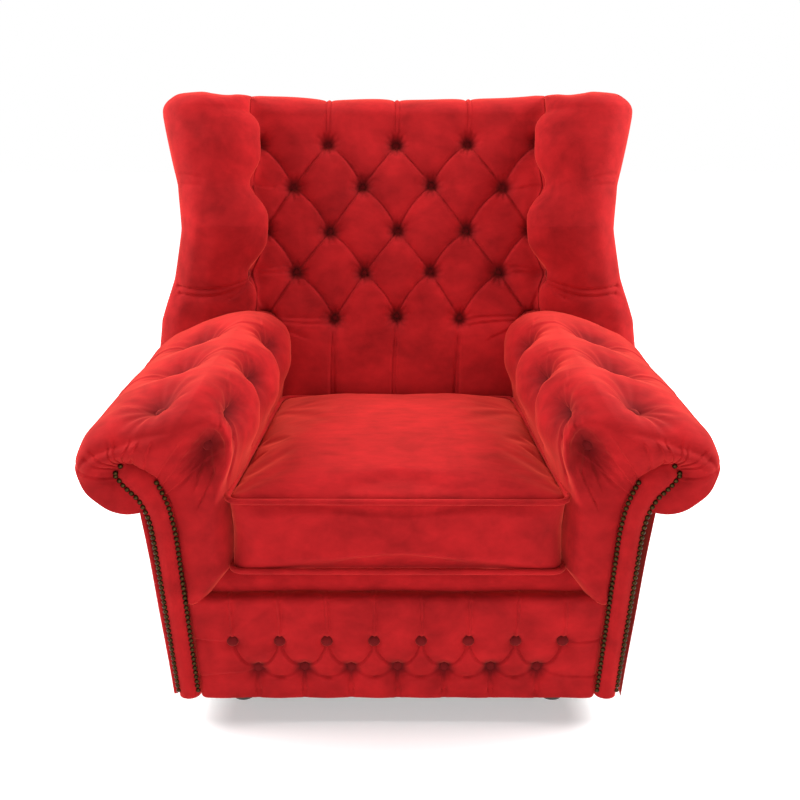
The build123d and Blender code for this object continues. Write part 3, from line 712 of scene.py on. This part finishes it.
def arm_place(u, v):
    run = u * arm_round
    inset, depth, length, face_length = nose(run)
    along = -length - face_length + v * (length + face_length + arm_rear - front_y - depth)
    turn = np.clip(-along / length, 0, 1) * pi / 2
    y = front_y + depth * (1 - np.sin(turn)) + np.clip(along, 0, None)
    outer = points_at(arm_path, run)
    outer[:, 0] += (seat_half(y) - seat_side_x) * (1 - step(shoulder_run - 20, crest_run + 60, run))
    low_front = np.clip((312 - outer[:, 1]) / 66, 0, 1) * (1 - step(20, 90, along))
    outer[:, 0] += 48 * low_front * (run < shoulder_run)
    rear = step(-150, 160, y)
    outer[:, 0] += 14 * rear * np.exp(-((run - shoulder_run) / 80) ** 2)
    marks = facing_run[[0, 2, 3, 4, 6, -1]] + (0, 8, 4, 6, -2, 0)
    met = np.interp(run, [0, shoulder_run, crest_run, outer_row, outer_run, arm_round], marks)
    inner = points_at(facing_path, met)
    way = inner - outer
    far = np.maximum(np.linalg.norm(way, axis=1), 1e-6)
    inset = np.minimum(inset * (1 - np.cos(turn)), far * 0.6)
    face = np.clip((-along - length) / face_length, 0, 1)
    reach = inset + (far - inset) * face
    spot = outer + way / far[:, None] * reach[:, None]
    over_head = step(crest_run - 40, crest_run + 40, run) * (1 - step(outer_run, outer_run + 80, run))
    y = y + 8 * face ** 3 - 9 * over_head * np.sin(pi * face ** 0.8)
    y = np.minimum(y, leaning_y(spot[:, 1]) + 34)
    return np.stack([spot[:, 0], y, spot[:, 1]], -1)


def arm_points(u, v):
    """Round the scroll and along the arm in millimetres; along is the chair's y on the straight part."""
    run = u * arm_round
    start = front_start(run)
    return run, start + v * (arm_rear - start)


# %% [markdown]
# ## Buttons and folds of the arms
# Two rows of buttons run back along each arm. The inner row sits on the shoulder above the sitter, with
# its first button pulled round on to the front. Folds leave the buttons across the arm, and short gathers
# fan out round the facing where the cover is drawn in.

# %% Buttons and folds of the arms
inner_y, outer_y = (-338, -182, 4), (-334, -178, 2)
front_run, front_at = inner_row - 12, -452
arm_dimples = [(inner_row, y, 50, 80) for y in inner_y] + [(outer_row, y, 44, 82) for y in outer_y]
arm_dimples += [(front_run, front_at, 40, 70)]
arm_folds = []
for y in inner_y:
    arm_folds += [(inner_row, y, inner_row - 58, y - 22, 16, 1.8, 2.0),
                  (inner_row - 58, y - 22, inner_row - 130, y - 26, 12, 1.7, 1.4),
                  (inner_row, y, inner_row + 40, y + 34, 9, 1.6, -1.8),
                  (inner_row + 40, y + 34, inner_row + 52, y + 64, 6, 1.5, -1.4),
                  (inner_row + 6, y, inner_row + 22, y + 46, 5, 1.4, 1.2)]
for y, far in zip(outer_y, (30, 150, 150)):
    arm_folds += [(outer_row, y, outer_row + 50, y + 8, 8, 1.5, -1.6),
                  (outer_row + 50, y + 8, outer_row + far, y, 6, 1.5, -1.6),
                  (outer_row, y, outer_row - 44, y + 14, 9, 1.5, 1.6),
                  (outer_row - 4, y, outer_row - 52, y - 4, 5, 1.4, 1.2)]
for y in outer_y[1:]:
    arm_folds += [(outer_row - 40, y + 10, inner_row + 40, y + 44, 4, 1.6, 1.4)]
arm_folds += [(front_run, front_at, front_run - 60, front_at + 10, 14, 1.8, 2.0),
              (front_run - 60, front_at + 10, front_run - 104, front_at - 8, 9, 1.6, 1.6),
              (front_run - 4, front_at - 6, front_run - 52, front_at - 26, 7, 1.5, 1.6),
              (front_run, front_at, front_run + 14, front_at + 50, 9, 1.6, -1.8),
              (front_run + 14, front_at + 50, front_run + 40, front_at + 86, 6, 1.5, -1.4),
              (front_run + 6, front_at + 10, front_run + 40, front_at + 60, 5, 1.4, 1.2)]
gather_at = (0.37, 0.42, 0.47, 0.53, 0.58, 0.625, 0.665, 0.70, 0.735, 0.77, 0.81)
gather_long = (74, 88, 66, 54, 40, 36, 46, 34, 44, 34, 40)
gathers = []
for i, (share, long) in enumerate(zip(gather_at, gather_long)):
    run = share * arm_round
    start = front_start(run)
    gathers.append((run, start + 4, run + 5 * ((i * 3) % 5 - 2), start + 16 + long, 4.5, 1.4, 1.8))
print(len(arm_dimples), "buttons,", len(arm_folds), "folds and", len(gathers), "gathers on each arm")


def arm_relief(u, v):
    run, y = arm_points(u, v)
    on_top = np.clip((run - shoulder_run) / (outer_row + 60 - shoulder_run), 0, 1)
    soft = 6 * np.sin(pi * on_top) * step(-390, -330, y)
    shifted = y + 24 * step(inner_row, inner_row - 58, run)
    beat = np.interp(shifted, [front_at, *inner_y, 190], [0, 1, 2, 3, 4])
    below_row = np.exp(-((run - inner_row + 62) / 56) ** 2)
    pillows = 9 * np.cos(tau * (beat - 0.5)) * below_row * step(-440, -380, y)
    meets_wing = leaning_y(560) - 92
    crease = 10 * np.exp(-np.clip(meets_wing - y, 0, None) / 9)
    tufts = buttoned(run, y, arm_dimples, arm_folds + gathers)
    return tufts + soft + pillows - crease + drift(run, y, 1.3)


# %% [markdown]
# ## Arm covers
# The arms carry the deepest buttons, so their grids are the finest. Between two buttons of the inner row
# the cover swells towards the sitter in a pillow, and it is creased where it meets the wing.


# %% Arms
def arm_tuck(spots):
    """The arm cover's edges turn in towards the middle of the scroll."""
    heart = spots.copy()
    heart[:, 0] = np.sign(spots[:, 0]) * 392
    heart[:, 1] = np.clip(spots[:, 1], front_y + 40, 260)
    heart[:, 2] = 470
    return spots + (heart - spots) * 0.4


for side, mirrored in both_sides:
    bm = patch(350, 280, arm_place, arm_relief, mirrored, darkest=50)
    close(bm, arm_tuck)
    arm = finish_piece(bm, side + "_arm", "chair", red_velvet, [side + "_arm_pad"])

# %% [markdown]
# ## Front border
# The border under the seat is buttoned in two shallow staggered rows. Pleats rise from the upper row, drop
# from the lower row, and join the rows in scallops.

# %% Front border
border_pitch = 82.2
border_low, border_height = 51, 207
border_upper = [((i - 3.5) * border_pitch, 169) for i in range(8)]
border_lower = [((i - 3) * border_pitch, 109) for i in range(7)]
border_dimples = [(x, z, 13, 24) for x, z in border_upper] + [(x, z, 20, 32) for x, z in border_lower]
border_folds = []
for x, z in border_upper:
    border_folds += [(x - 2, z, x - 3, 250, 5, 1.1, 1.8), (x + 2, z, x + 4, 250, 5, 1.1, -1.8)]
    border_folds += [(x, z, near_x, near_z, 11, 1.2, *((2.4, 0.1) if near_x > x else (-2.4, -0.1)))
                     for near_x, near_z in border_lower if abs(near_x - x) < border_pitch]
for x, z in border_lower:
    border_folds += [(x - 2, z, x - 4, 68, 7, 1.1, 2.0), (x + 3, z, x + 4, 70, 6, 1.1, -2.0)]
for x, z in border_lower[:-1]:
    middle = x + border_pitch / 2
    border_folds += [(x, z, middle, z - 13, 7, 1.2, 1.8), (middle, z - 13, x + border_pitch, z, 7, 1.2, 1.8)]
for end in (-1, 1):
    border_folds += [(end * 3.5 * border_pitch, 169, end * 350, 174, 5, 1.5, 1.2),
                     (end * 3 * border_pitch, 109, end * 350, 98, 4, 1.5, 1.2)]
print(len(border_dimples), "border buttons and", len(border_folds), "folds")


def border_half(z):
    """Half the border's width: it widens upwards between the leaning facings."""
    return 351 + 14 * (z - 60) / 325


def border_points(u, v):
    """Across and up in millimetres."""
    z = border_low + v * border_height
    return (2 * u - 1) * border_half(z), z


def border_place(u, v):
    x, z = border_points(u, v)
    edge = np.minimum((0.5 - np.abs(u - 0.5)) * 700, border_low + border_height - z)
    y = front_y + 4 + 9 * np.exp(-edge / 4) + 5 * np.exp(-(z - border_low) / 2)
    return np.stack([x, y, z], -1)


def border_relief(u, v):
    x, z = border_points(u, v)
    return buttoned(x, z, border_dimples, border_folds) + drift(x * 2, z * 2, 0.8)


def border_tuck(spots):
    spots[:, 1] = front_y + 46
    return spots


bm = patch(430, 128, border_place, border_relief, darkest=17)
close(bm, border_tuck)
border = finish_piece(bm, "front_border_cover", "chair", red_velvet, ["front_border"])

# %% [markdown]
# ## Seat lip
# Under the cushion's front a plain padded roll runs from arm to arm. It is wider below than above, because
# the arm fronts narrow towards the border.


# %% Seat lip
def lip_place(u, v):
    turn = -0.35 * pi + v * 1.05 * pi
    z = 274 + 28 * np.sin(turn)
    y = front_y + 48 - 22 * np.cos(turn) + 20 * step(0.75, 1, v)
    half = np.interp(z, [251, 301], [332, 300])
    return np.stack([(2 * u - 1) * half, y, z], -1)


def lip_relief(u, v):
    return drift(u * 620, v * 120, 1.0)


def lip_tuck(spots):
    spots[:, 1] = np.maximum(spots[:, 1], front_y + 30)
    return spots


bm = patch(150, 28, lip_place, lip_relief)
close(bm, lip_tuck)
lip = finish_piece(bm, "seat_lip_roll", "chair", red_velvet, ["seat_lip"])

# %% [markdown]
# ## Seat cushion
# The loose cushion is a boxed shape: a crowned top, a border that draws in a little, and corded seams. It
# is drawn as five rings, then cut into even small faces, which the cloth needs, and its top is crowned.

# %% Cushion box
cushion_low, cushion_high = 305.6, 443
cushion_front, cushion_corner = front_y + 5, 22


def cushion_back(z):
    up = (z - knee_z - 98 * lean_sin) / lean_cos
    return knee_y + up * lean_sin - 98 * lean_cos


def cushion_half(y):
    return seat_half(y) - 1


def cushion_edge(count, z):
    """Points round the cushion's plan, with rounded corners."""
    back, corner = cushion_back(z), cushion_corner
    spots = []
    for cx, cy, start in ((1, 0, -90), (1, 1, 0), (-1, 1, 90), (-1, 0, 180)):
        y_mid = cushion_front + corner if cy == 0 else back - corner
        x_mid = cx * (cushion_half(y_mid) - corner)
        for k in range(count):
            turn = radians(start + 90 * k / (count - 1))
            spots.append((x_mid + corner * cos(turn), y_mid + corner * sin(turn), z))
    return spots


def applied(obj):
    """The object's mesh after its modifiers, which are then taken off."""
    mesh = bpy.data.meshes.new_from_object(obj.evaluated_get(bpy.context.evaluated_depsgraph_get()))
    obj.modifiers.clear()
    obj.data = mesh
    return mesh


def cushion_body():
    """Five rings from seam to seam, drawn in a little at the middle, and closed above and below."""
    bm = bmesh.new()
    rings = []
    for z, pull in ((cushion_low, 0), (cushion_low + 40, 3), ((cushion_low + cushion_high) / 2, 4),
                    (cushion_high - 40, 3), (cushion_high, 0)):
        ring = []
        for x, y, h in cushion_edge(10, z):
            drawn_in = (x * (1 - pull / 270), y + pull * (1 if y < -100 else -1), h)
            ring.append(bm.verts.new([c / 1000 for c in drawn_in]))
        rings.append(ring)
    for low, high in zip(rings, rings[1:]):
        for i in range(len(low)):
            j = (i + 1) % len(low)
            bm.faces.new((low[i], low[j], high[j], high[i]))
    bm.faces.new(rings[-1])
    bm.faces.new(rings[0][::-1])
    return bm


bm = cushion_body()
cushion = finish_piece(bm, "seat_cushion_cover", "cushion", red_velvet, ["seat_cushion"])
remesh = cushion.modifiers.new("even", "REMESH")
remesh.mode = "VOXEL"
remesh.voxel_size = 0.006
even = applied(cushion)
boxed = np.array([v.co[:] for v in even.vertices]) * 1000
near_side = np.clip(np.abs(boxed[:, 0]) / cushion_half(boxed[:, 1]), 0, 1)
front_share = np.clip((boxed[:, 1] - cushion_front) / (cushion_back(450) - cushion_front), 0, 1)
crown = 30 * (1 - near_side ** 6) * (np.sin(pi * front_share) ** 0.35)
crowned = boxed.copy()
crowned[:, 2] += crown * step(cushion_high - 25, cushion_high - 1, boxed[:, 2])
even.vertices.foreach_set("co", (crowned / 1000).ravel())
print("cushion cover has", len(boxed), "points")

# %% [markdown]
# ## Cushion filling
# The filling is a short cloth simulation: pressure from within, no gravity and both seams held. A little
# extra cloth and some stiffness give soft, broad unevenness rather than small dents.


# %% Cushion filling
def fill_with_air(obj, held, most):
    """Puffs a cover out like a filled bag while its seams are held, moving no point more than most mm."""
    start = np.array([v.co[:] for v in obj.data.vertices])
    seams = obj.vertex_groups.new(name="seams")
    seams.add([int(i) for i in held], 1, "REPLACE")
    cloth = obj.modifiers.new("filling", "CLOTH")
    cloth.settings.use_pressure = True
    cloth.settings.uniform_pressure_force = 4
    cloth.settings.effector_weights.gravity = 0
    cloth.settings.vertex_group_mass = "seams"
    cloth.settings.shrink_min = -0.004
    cloth.settings.bending_stiffness = 3
    cloth.point_cache.frame_start = 1
    cloth.point_cache.frame_end = 20
    for moment in range(1, 21):
        bpy.context.scene.frame_set(moment)
    shown = obj.evaluated_get(bpy.context.evaluated_depsgraph_get()).data
    moved = np.array([v.co[:] for v in shown.vertices]) - start
    far = np.linalg.norm(moved, axis=1, keepdims=True)
    obj.modifiers.clear()
    bpy.context.scene.frame_set(1)
    kept = start + moved * np.minimum(1, most / 1000 / np.maximum(far, 1e-9))
    obj.data.vertices.foreach_set("co", kept.ravel())
    print(obj.name, "moved by up to", round(float(far.max()) * 1000, 1), "mm")


at_seam = np.minimum(np.abs(boxed[:, 2] - cushion_high), np.abs(boxed[:, 2] - cushion_low)) < 4
rim_spots = np.array(cushion_edge(60, 0))[:, :2]
near_rim = np.array([np.min(np.hypot(*(rim_spots - spot[:2]).T)) for spot in boxed]) < 9
fill_with_air(cushion, np.flatnonzero(at_seam & near_rim), 8)
finer = cushion.modifiers.new("finer", "SUBSURF")
finer.levels = finer.render_levels = 1
applied(cushion).shade_smooth()

# %% [markdown]
# ## Cushion piping
# A cord covered in the same velvet closes each seam. It is a round tube along the seam's line, which
# wanders a little.


# %% Cushion piping
def tube(name, points, radius, body, nodes, material):
    """A round cord along a closed line."""
    curve = bpy.data.curves.new(name, "CURVE")
    curve.dimensions = "3D"
    curve.bevel_depth = radius / 1000
    curve.bevel_resolution = 3
    spline = curve.splines.new("POLY")
    spline.points.add(len(points) - 1)
    for point, spot in zip(spline.points, points):
        point.co = (*[c / 1000 for c in spot], 1)
    spline.use_cyclic_u = True
    holder = bpy.data.objects.new(name, curve)
    bpy.context.collection.objects.link(holder)
    mesh = bpy.data.meshes.new_from_object(holder.evaluated_get(bpy.context.evaluated_depsgraph_get()))
    bpy.data.objects.remove(holder)
    bm = bmesh.new()
    bm.from_mesh(mesh)
    bmesh.ops.remove_doubles(bm, verts=bm.verts, dist=1e-6)
    return finish_piece(bm, name, body, material, nodes)


for name, z in (("top", cushion_high), ("bottom", cushion_low + 8)):
    loop = [(x * 1.006, y - 4 * (y < -300), h + 1.5 * sin(x / 60 + 1)) for x, y, h in cushion_edge(14, z)]
    tube("cushion_" + name + "_welt", loop, 5.2, "cushion", ["cushion_" + name + "_piping"], red_velvet)

# %% [markdown]
# ## Facings and nails
# Each arm front carries a slim scroll-shaped facing: velvet over a thin board, edged with close-set brass
# nails.

# %% Facings
facing_inner = np.array([(350, 60), (357, 222), (364, 385), (371, 436), (393, 484), (425, 508),
                         (446, 508)], float)
facing_outer = np.array([(388, 60), (397, 222), (406, 385), (411, 420), (424, 447), (445, 464),
                         (461, 488)], float)
line_count = 200


def smooth_line(points):
    """Even points on a line through a few measured ones, relaxed until its corners are gone."""
    line = evened(points, 400)
    for _ in range(160):
        line[1:-1] = line[1:-1] * 0.5 + (line[:-2] + line[2:]) * 0.25
    return evened(line, line_count)


inner_line, outer_line = smooth_line(facing_inner), smooth_line(facing_outer)


def head_back(z):
    """The facing's head stands back under the roll of the arm."""
    return 8 * step(425, 490, z)


def facing_place(u, v):
    at, marks = v * (line_count - 1), np.arange(line_count)
    first, last = [np.stack([np.interp(at, marks, line[:, i]) for i in (0, 1)], -1)
                   for line in (inner_line, outer_line)]
    spot = first + (last - first) * u[:, None]
    edge = np.minimum(np.minimum(u, 1 - u) * 38, (1 - v) * 400)
    y = front_y + 3 - 8 * np.sin(pi * u) * np.minimum(1, (1 - v) * 20) + 9 * np.exp(-edge / 2)
    return np.stack([spot[:, 0], y + head_back(spot[:, 1]), spot[:, 1]], -1)


def facing_relief(u, v):
    return drift(u * 60, v * 500, 0.4)


def facing_tuck(spots):
    spots[:, 1] = front_y + 26
    return spots


for side, mirrored in both_sides:
    bm = patch(26, 160, facing_place, facing_relief, mirrored=mirrored)
    close(bm, facing_tuck)
    finish_piece(bm, side + "_facing_cover", "chair", red_velvet, [side + "_facing"])

# %% [markdown]
# ## Turned shapes
# Nails, covered buttons and feet are turned shapes, so each is one profile spun round its axis and then
# set where it is needed. Nails keep few faces, because there are hundreds.


# %% Turned shapes
def turned(profile, steps):
    """A mesh spun from a profile of (radius, height) points in millimetres."""
    bm = bmesh.new()
    verts = [bm.verts.new((r / 1000, 0, h / 1000)) for r, h in profile]
    edges = [bm.edges.new(pair) for pair in zip(verts, verts[1:])]
    bmesh.ops.spin(bm, geom=verts + edges, cent=(0, 0, 0), axis=(0, 0, 1), angle=tau, steps=steps,
                   use_merge=True)
    bmesh.ops.remove_doubles(bm, verts=bm.verts, dist=1e-6)
    bmesh.ops.recalc_face_normals(bm, faces=bm.faces)
    mesh = bpy.data.meshes.new("turned")
    bm.to_mesh(mesh)
    bm.free()
    return mesh


def set_many(name, mesh, spots, material, nodes):
    """One object with the mesh set at each (position in mm, direction)."""
    bm = bmesh.new()
    for spot, way in spots:
        before = set(bm.verts)
        bm.from_mesh(mesh)
        turn = Vector((0, 0, 1)).rotation_difference(Vector(way)).to_matrix().to_4x4()
        bmesh.ops.transform(bm, matrix=Matrix.Translation(Vector(spot) / 1000) @ turn,
                            verts=[v for v in bm.verts if v not in before])
    return finish_piece(bm, name, "chair", material, nodes)


nail = turned([(0, 3.4), (2.4, 2.8), (4.0, 1.4), (4.6, 0), (4.0, -1)], 8)
button = turned([(0, 6.0), (4, 5.7), (7.5, 4.6), (9.8, 2.8), (10.8, 0.6), (10.2, -1.5), (8, -2.5)], 16)
print("a nail has", len(nail.polygons), "faces and a button", len(button.polygons))

# %% [markdown]
# ## Nails
# The nails stand shoulder to shoulder just inside the facing's edges, and stop where the inner edge goes
# under the roll of the arm.

# %% Nails
nail_pitch, nail_inset = 9.4, 2


def on_line(line, inset):
    """Nail places along a line, moved in from it."""
    length = run_along(line)[-1]
    at = np.linspace(nail_pitch / 2, length - nail_pitch / 2, int(length / nail_pitch))
    spots = points_at(line, at)
    way = points_at(line, np.clip(at + 1, 0, length)) - spots
    way /= np.maximum(np.linalg.norm(way, axis=1, keepdims=True), 1e-9)
    return spots + np.stack([way[:, 1], -way[:, 0]], -1) * inset


tip_line = np.stack([outer_line[-1], inner_line[-1]])
nail_spots = np.concatenate([on_line(inner_line[:174], nail_inset), on_line(outer_line, -nail_inset),
                             on_line(tip_line, -nail_inset)])
for side, mirror_x in (("left", 1), ("right", -1)):
    spots = [((mirror_x * x, front_y + 0.5 + head_back(z), z), (0, -1, 0)) for x, z in nail_spots if z > 71]
    set_many(side + "_nails", nail, spots, antique_brass, [side + "_facing_nails"])

# %% [markdown]
# ## Buttons
# Each button sits at the foot of its dimple and looks out of it, so its place and direction come from the
# same form and relief that made the cover.


# %% Buttons
def button_spots(place, relief, shares, mirror_x=1, rise=2.5):
    """Where buttons sit on a patch: the foot of each dimple, with the direction out of it."""
    u, v = np.array(shares, float).T
    spots, normals, _ = lay(place, relief, u, v)
    spots = spots + normals * rise
    return [((mirror_x * s[0], s[1], s[2]), (mirror_x * n[0], n[1], n[2])) for s, n in zip(spots, normals)]


def section_share(run, up):
    """The table column at which a plan section has this run."""
    return np.interp(abs(run), sections[section_row(up), :, 2], np.arange(section_count))


join = join_share - 1
back_share = [(0.5 + np.sign(x) * section_share(x, up) / join / 2, (up - back_low) / (back_length - back_low))
              for x, up, _, _ in back_buttons if section_share(x, up) < join]
wing_share = [((section_share(x, up) - wing_first) / (section_count - 1 - wing_first),
               (up - wing_low) / (back_length - wing_low))
              for x, up in wing_buttons + [spot[:2] for spot in back_buttons]
              if x > 0 and section_share(x, up) >= join]
border_share = [((x / border_half(z) + 1) / 2, (z - border_low) / border_height)
                for x, z in border_upper + border_lower]
arm_share = []
for run, y, _, _ in arm_dimples:
    start = front_start(run)
    arm_share.append((run / arm_round, (y - start) / (arm_rear - start)))
button_sets = [("back_button_set", "back_buttons", button_spots(back_place, back_relief, back_share)),
               ("border_button_set", "front_border_buttons",
                button_spots(border_place, border_relief, border_share, rise=4.5))]
for side, mirror_x in (("left", 1), ("right", -1)):
    button_sets += [(side + "_arm_button_set", side + "_arm_buttons",
                     button_spots(arm_place, arm_relief, arm_share, mirror_x)),
                    (side + "_wing_button_set", side + "_wing_buttons",
                     button_spots(wing_place, wing_relief, wing_share, mirror_x))]
for name, node, spots in button_sets:
    set_many(name, button, spots, button_velvet, [node])

# %% [markdown]
# ## Outside panels
# The outside arms and the outside back are plain velvet stretched over the frame, a little full in the
# middle.

# %% Outside arms
panel_front, panel_rear = -392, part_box("left_outside_arm")[1][1] * 1000 - 2


def outside_arm_place(u, v):
    z = 61 + v * 366
    y = panel_front + u * (np.minimum(leaning_y(z) + 52, panel_rear) - panel_front)
    x = np.interp(z, [60, 428], [396.5, 424]) + 3 * np.sin(pi * u) * np.sin(pi * v)
    return np.stack([x, y, z], -1)


def flat_relief(u, v):
    return drift(u * 700, v * 400, 0.7)


for side, mirrored in both_sides:
    bm = patch(80, 50, outside_arm_place, flat_relief, mirrored=mirrored)
    bmesh.ops.solidify(bm, geom=bm.faces, thickness=0.006)
    finish_piece(bm, side + "_outside_arm_cover", "chair", red_velvet, [side + "_outside_arm"])

# %% [markdown]
# ## Outside back
# The panel closes the back behind the arms and the wings, so its half width follows them: narrow low
# down, wide behind the scrolls and a little waisted above.

# %% Outside back
outside_half = rounded([(60, 396), (422, 423), (436, 482), (470, 508), (519, 514), (560, 508), (610, 490),
                        (700, 460), (830, 452), (920, 464), (975, 468), (1006, 462), (1020, 446)], 12, 240)
outside_out = 57


def outside_back_place(u, v):
    z = 60 + v * 960
    up = (z - knee_z + outside_out * lean_sin) / lean_cos
    lean_y = knee_y + up * lean_sin + outside_out * lean_cos
    half = np.interp(z, outside_half[:, 0], outside_half[:, 1])
    edge = 6 * np.exp(-(0.5 - np.abs(u - 0.5)) * 2 * half / 6)
    return np.stack([(1 - 2 * u) * half, np.maximum(lean_y, knee_y + outside_out) - edge, z], -1)


bm = patch(90, 120, outside_back_place, flat_relief)
bmesh.ops.solidify(bm, geom=bm.faces, thickness=0.008)
finish_piece(bm, "outside_back_cover", "chair", red_velvet, ["outside_back"])

# %% [markdown]
# ## Seat platform
# Under the loose cushion lies a platform of plain cloth, which shows when the cushion is pulled out.

# %% Seat platform
deck_front, deck_back = front_y + 58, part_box("seat_deck")[1][1] * 1000


def deck_place(u, v):
    y = deck_front + v * (deck_back - deck_front)
    z = 302 + 2 * np.sin(pi * u) * np.sin(pi * v)
    return np.stack([(2 * u - 1) * (seat_half(y) - 1), y, z], -1)


def deck_tuck(spots):
    spots[:, 2] = 256
    return spots


bm = patch(70, 60, deck_place, flat_relief)
close(bm, deck_tuck)
deck = finish_piece(bm, "seat_platform", "chair", platform_cloth, ["seat_deck"])

# %% [markdown]
# ## Feet
# Four low turned feet carry the chair. Each is a profile spun on the lathe: sole, belly, collar.

# %% Feet
foot = turned([(0, 0), (20, 0), (22.5, 1.5), (28, 14), (30, 25), (29, 38), (26.5, 48), (25, 52), (27, 54),
               (26.5, 60), (0, 60)], 40)
for name in ("front_left", "front_right", "rear_left", "rear_right"):
    low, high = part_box(name + "_foot")
    spot = ((low[0] + high[0]) * 500, (low[1] + high[1]) * 500, 0)
    set_many(name + "_turned_foot", foot, [(spot, (0, 0, 1))], stained_wood, [name + "_foot"])

# %% [markdown]
# ## Floor, light and background
# The photograph is a studio cut-out: white all round, soft light from above and in front, and a faint
# shadow under the base. The floor is pale and lifts to white only for the camera, so it still takes the
# chair's shadow.

# %% Floor
bm = bmesh.new()
bmesh.ops.create_grid(bm, x_segments=1, y_segments=1, size=9)
floor_mesh = bpy.data.meshes.new("floor")
bm.to_mesh(floor_mesh)
bm.free()
floor = bpy.data.objects.new("floor", floor_mesh)
bpy.context.collection.objects.link(floor)
floor_paint, tree, out = new_material("matt_white_paint")
place = add(tree, "ShaderNodeTexCoord").outputs["Object"]
where = add(tree, "ShaderNodeVectorMath", {0: place}, operation="LENGTH")
far = add(tree, "ShaderNodeMapRange", {0: where.outputs["Value"], 1: 0.5, 2: 1.2, 3: 0.34, 4: 1.0})
lift = add(tree, "ShaderNodeMath", {0: seen_directly(tree), 1: far.outputs[0]}, operation="MULTIPLY")
glow = add(tree, "ShaderNodeEmission", {"Strength": lift.outputs[0]})
paint = add(tree, "ShaderNodeBsdfDiffuse", {"Color": linear("#E8E8E8")})
both = add(tree, "ShaderNodeAddShader", {0: paint.outputs[0], 1: glow.outputs[0]})
tree.links.new(both.outputs[0], out.inputs[0])
floor_mesh.materials.append(floor_paint)

# %% [markdown]
# ## World and lamps
# Two large softboxes at the sides carry the light, one above fills the seat, and a low one in front opens
# the shadows of the border. The world is white to look at and weak as a light.

# %% World and lamps
world = bpy.data.worlds.new("studio")
bpy.context.scene.world = world
world.use_nodes = True
tree = world.node_tree
tree.nodes.clear()
level = add(tree, "ShaderNodeMapRange", {0: seen_directly(tree), 3: 0.14, 4: 1.0})
sky = add(tree, "ShaderNodeBackground", {"Color": (1, 1, 1, 1), "Strength": level.outputs[0]})
tree.links.new(sky.outputs[0], add(tree, "ShaderNodeOutputWorld").inputs[0])
lamps = (("softbox_above", (0, 0.2, 2.9), 1.6, 17), ("softbox_left", (-2.3, 0.15, 2.1), 1.5, 116),
         ("softbox_right", (2.3, 0.15, 2.1), 1.5, 122), ("front_fill", (0, -2.2, 0.6), 1.4, 25))
for name, spot, size, power in lamps:
    lamp = bpy.data.lights.new(name, "AREA")
    lamp.size = size
    lamp.energy = power
    holder = bpy.data.objects.new(name, lamp)
    bpy.context.collection.objects.link(holder)
    holder.location = spot
    holder.rotation_euler = (Vector((0, 0, 0.5)) - Vector(spot)).to_track_quat("-Z", "Y").to_euler()
bpy.context.scene.view_settings.view_transform = "Standard"
print("floor, world and lamps set")
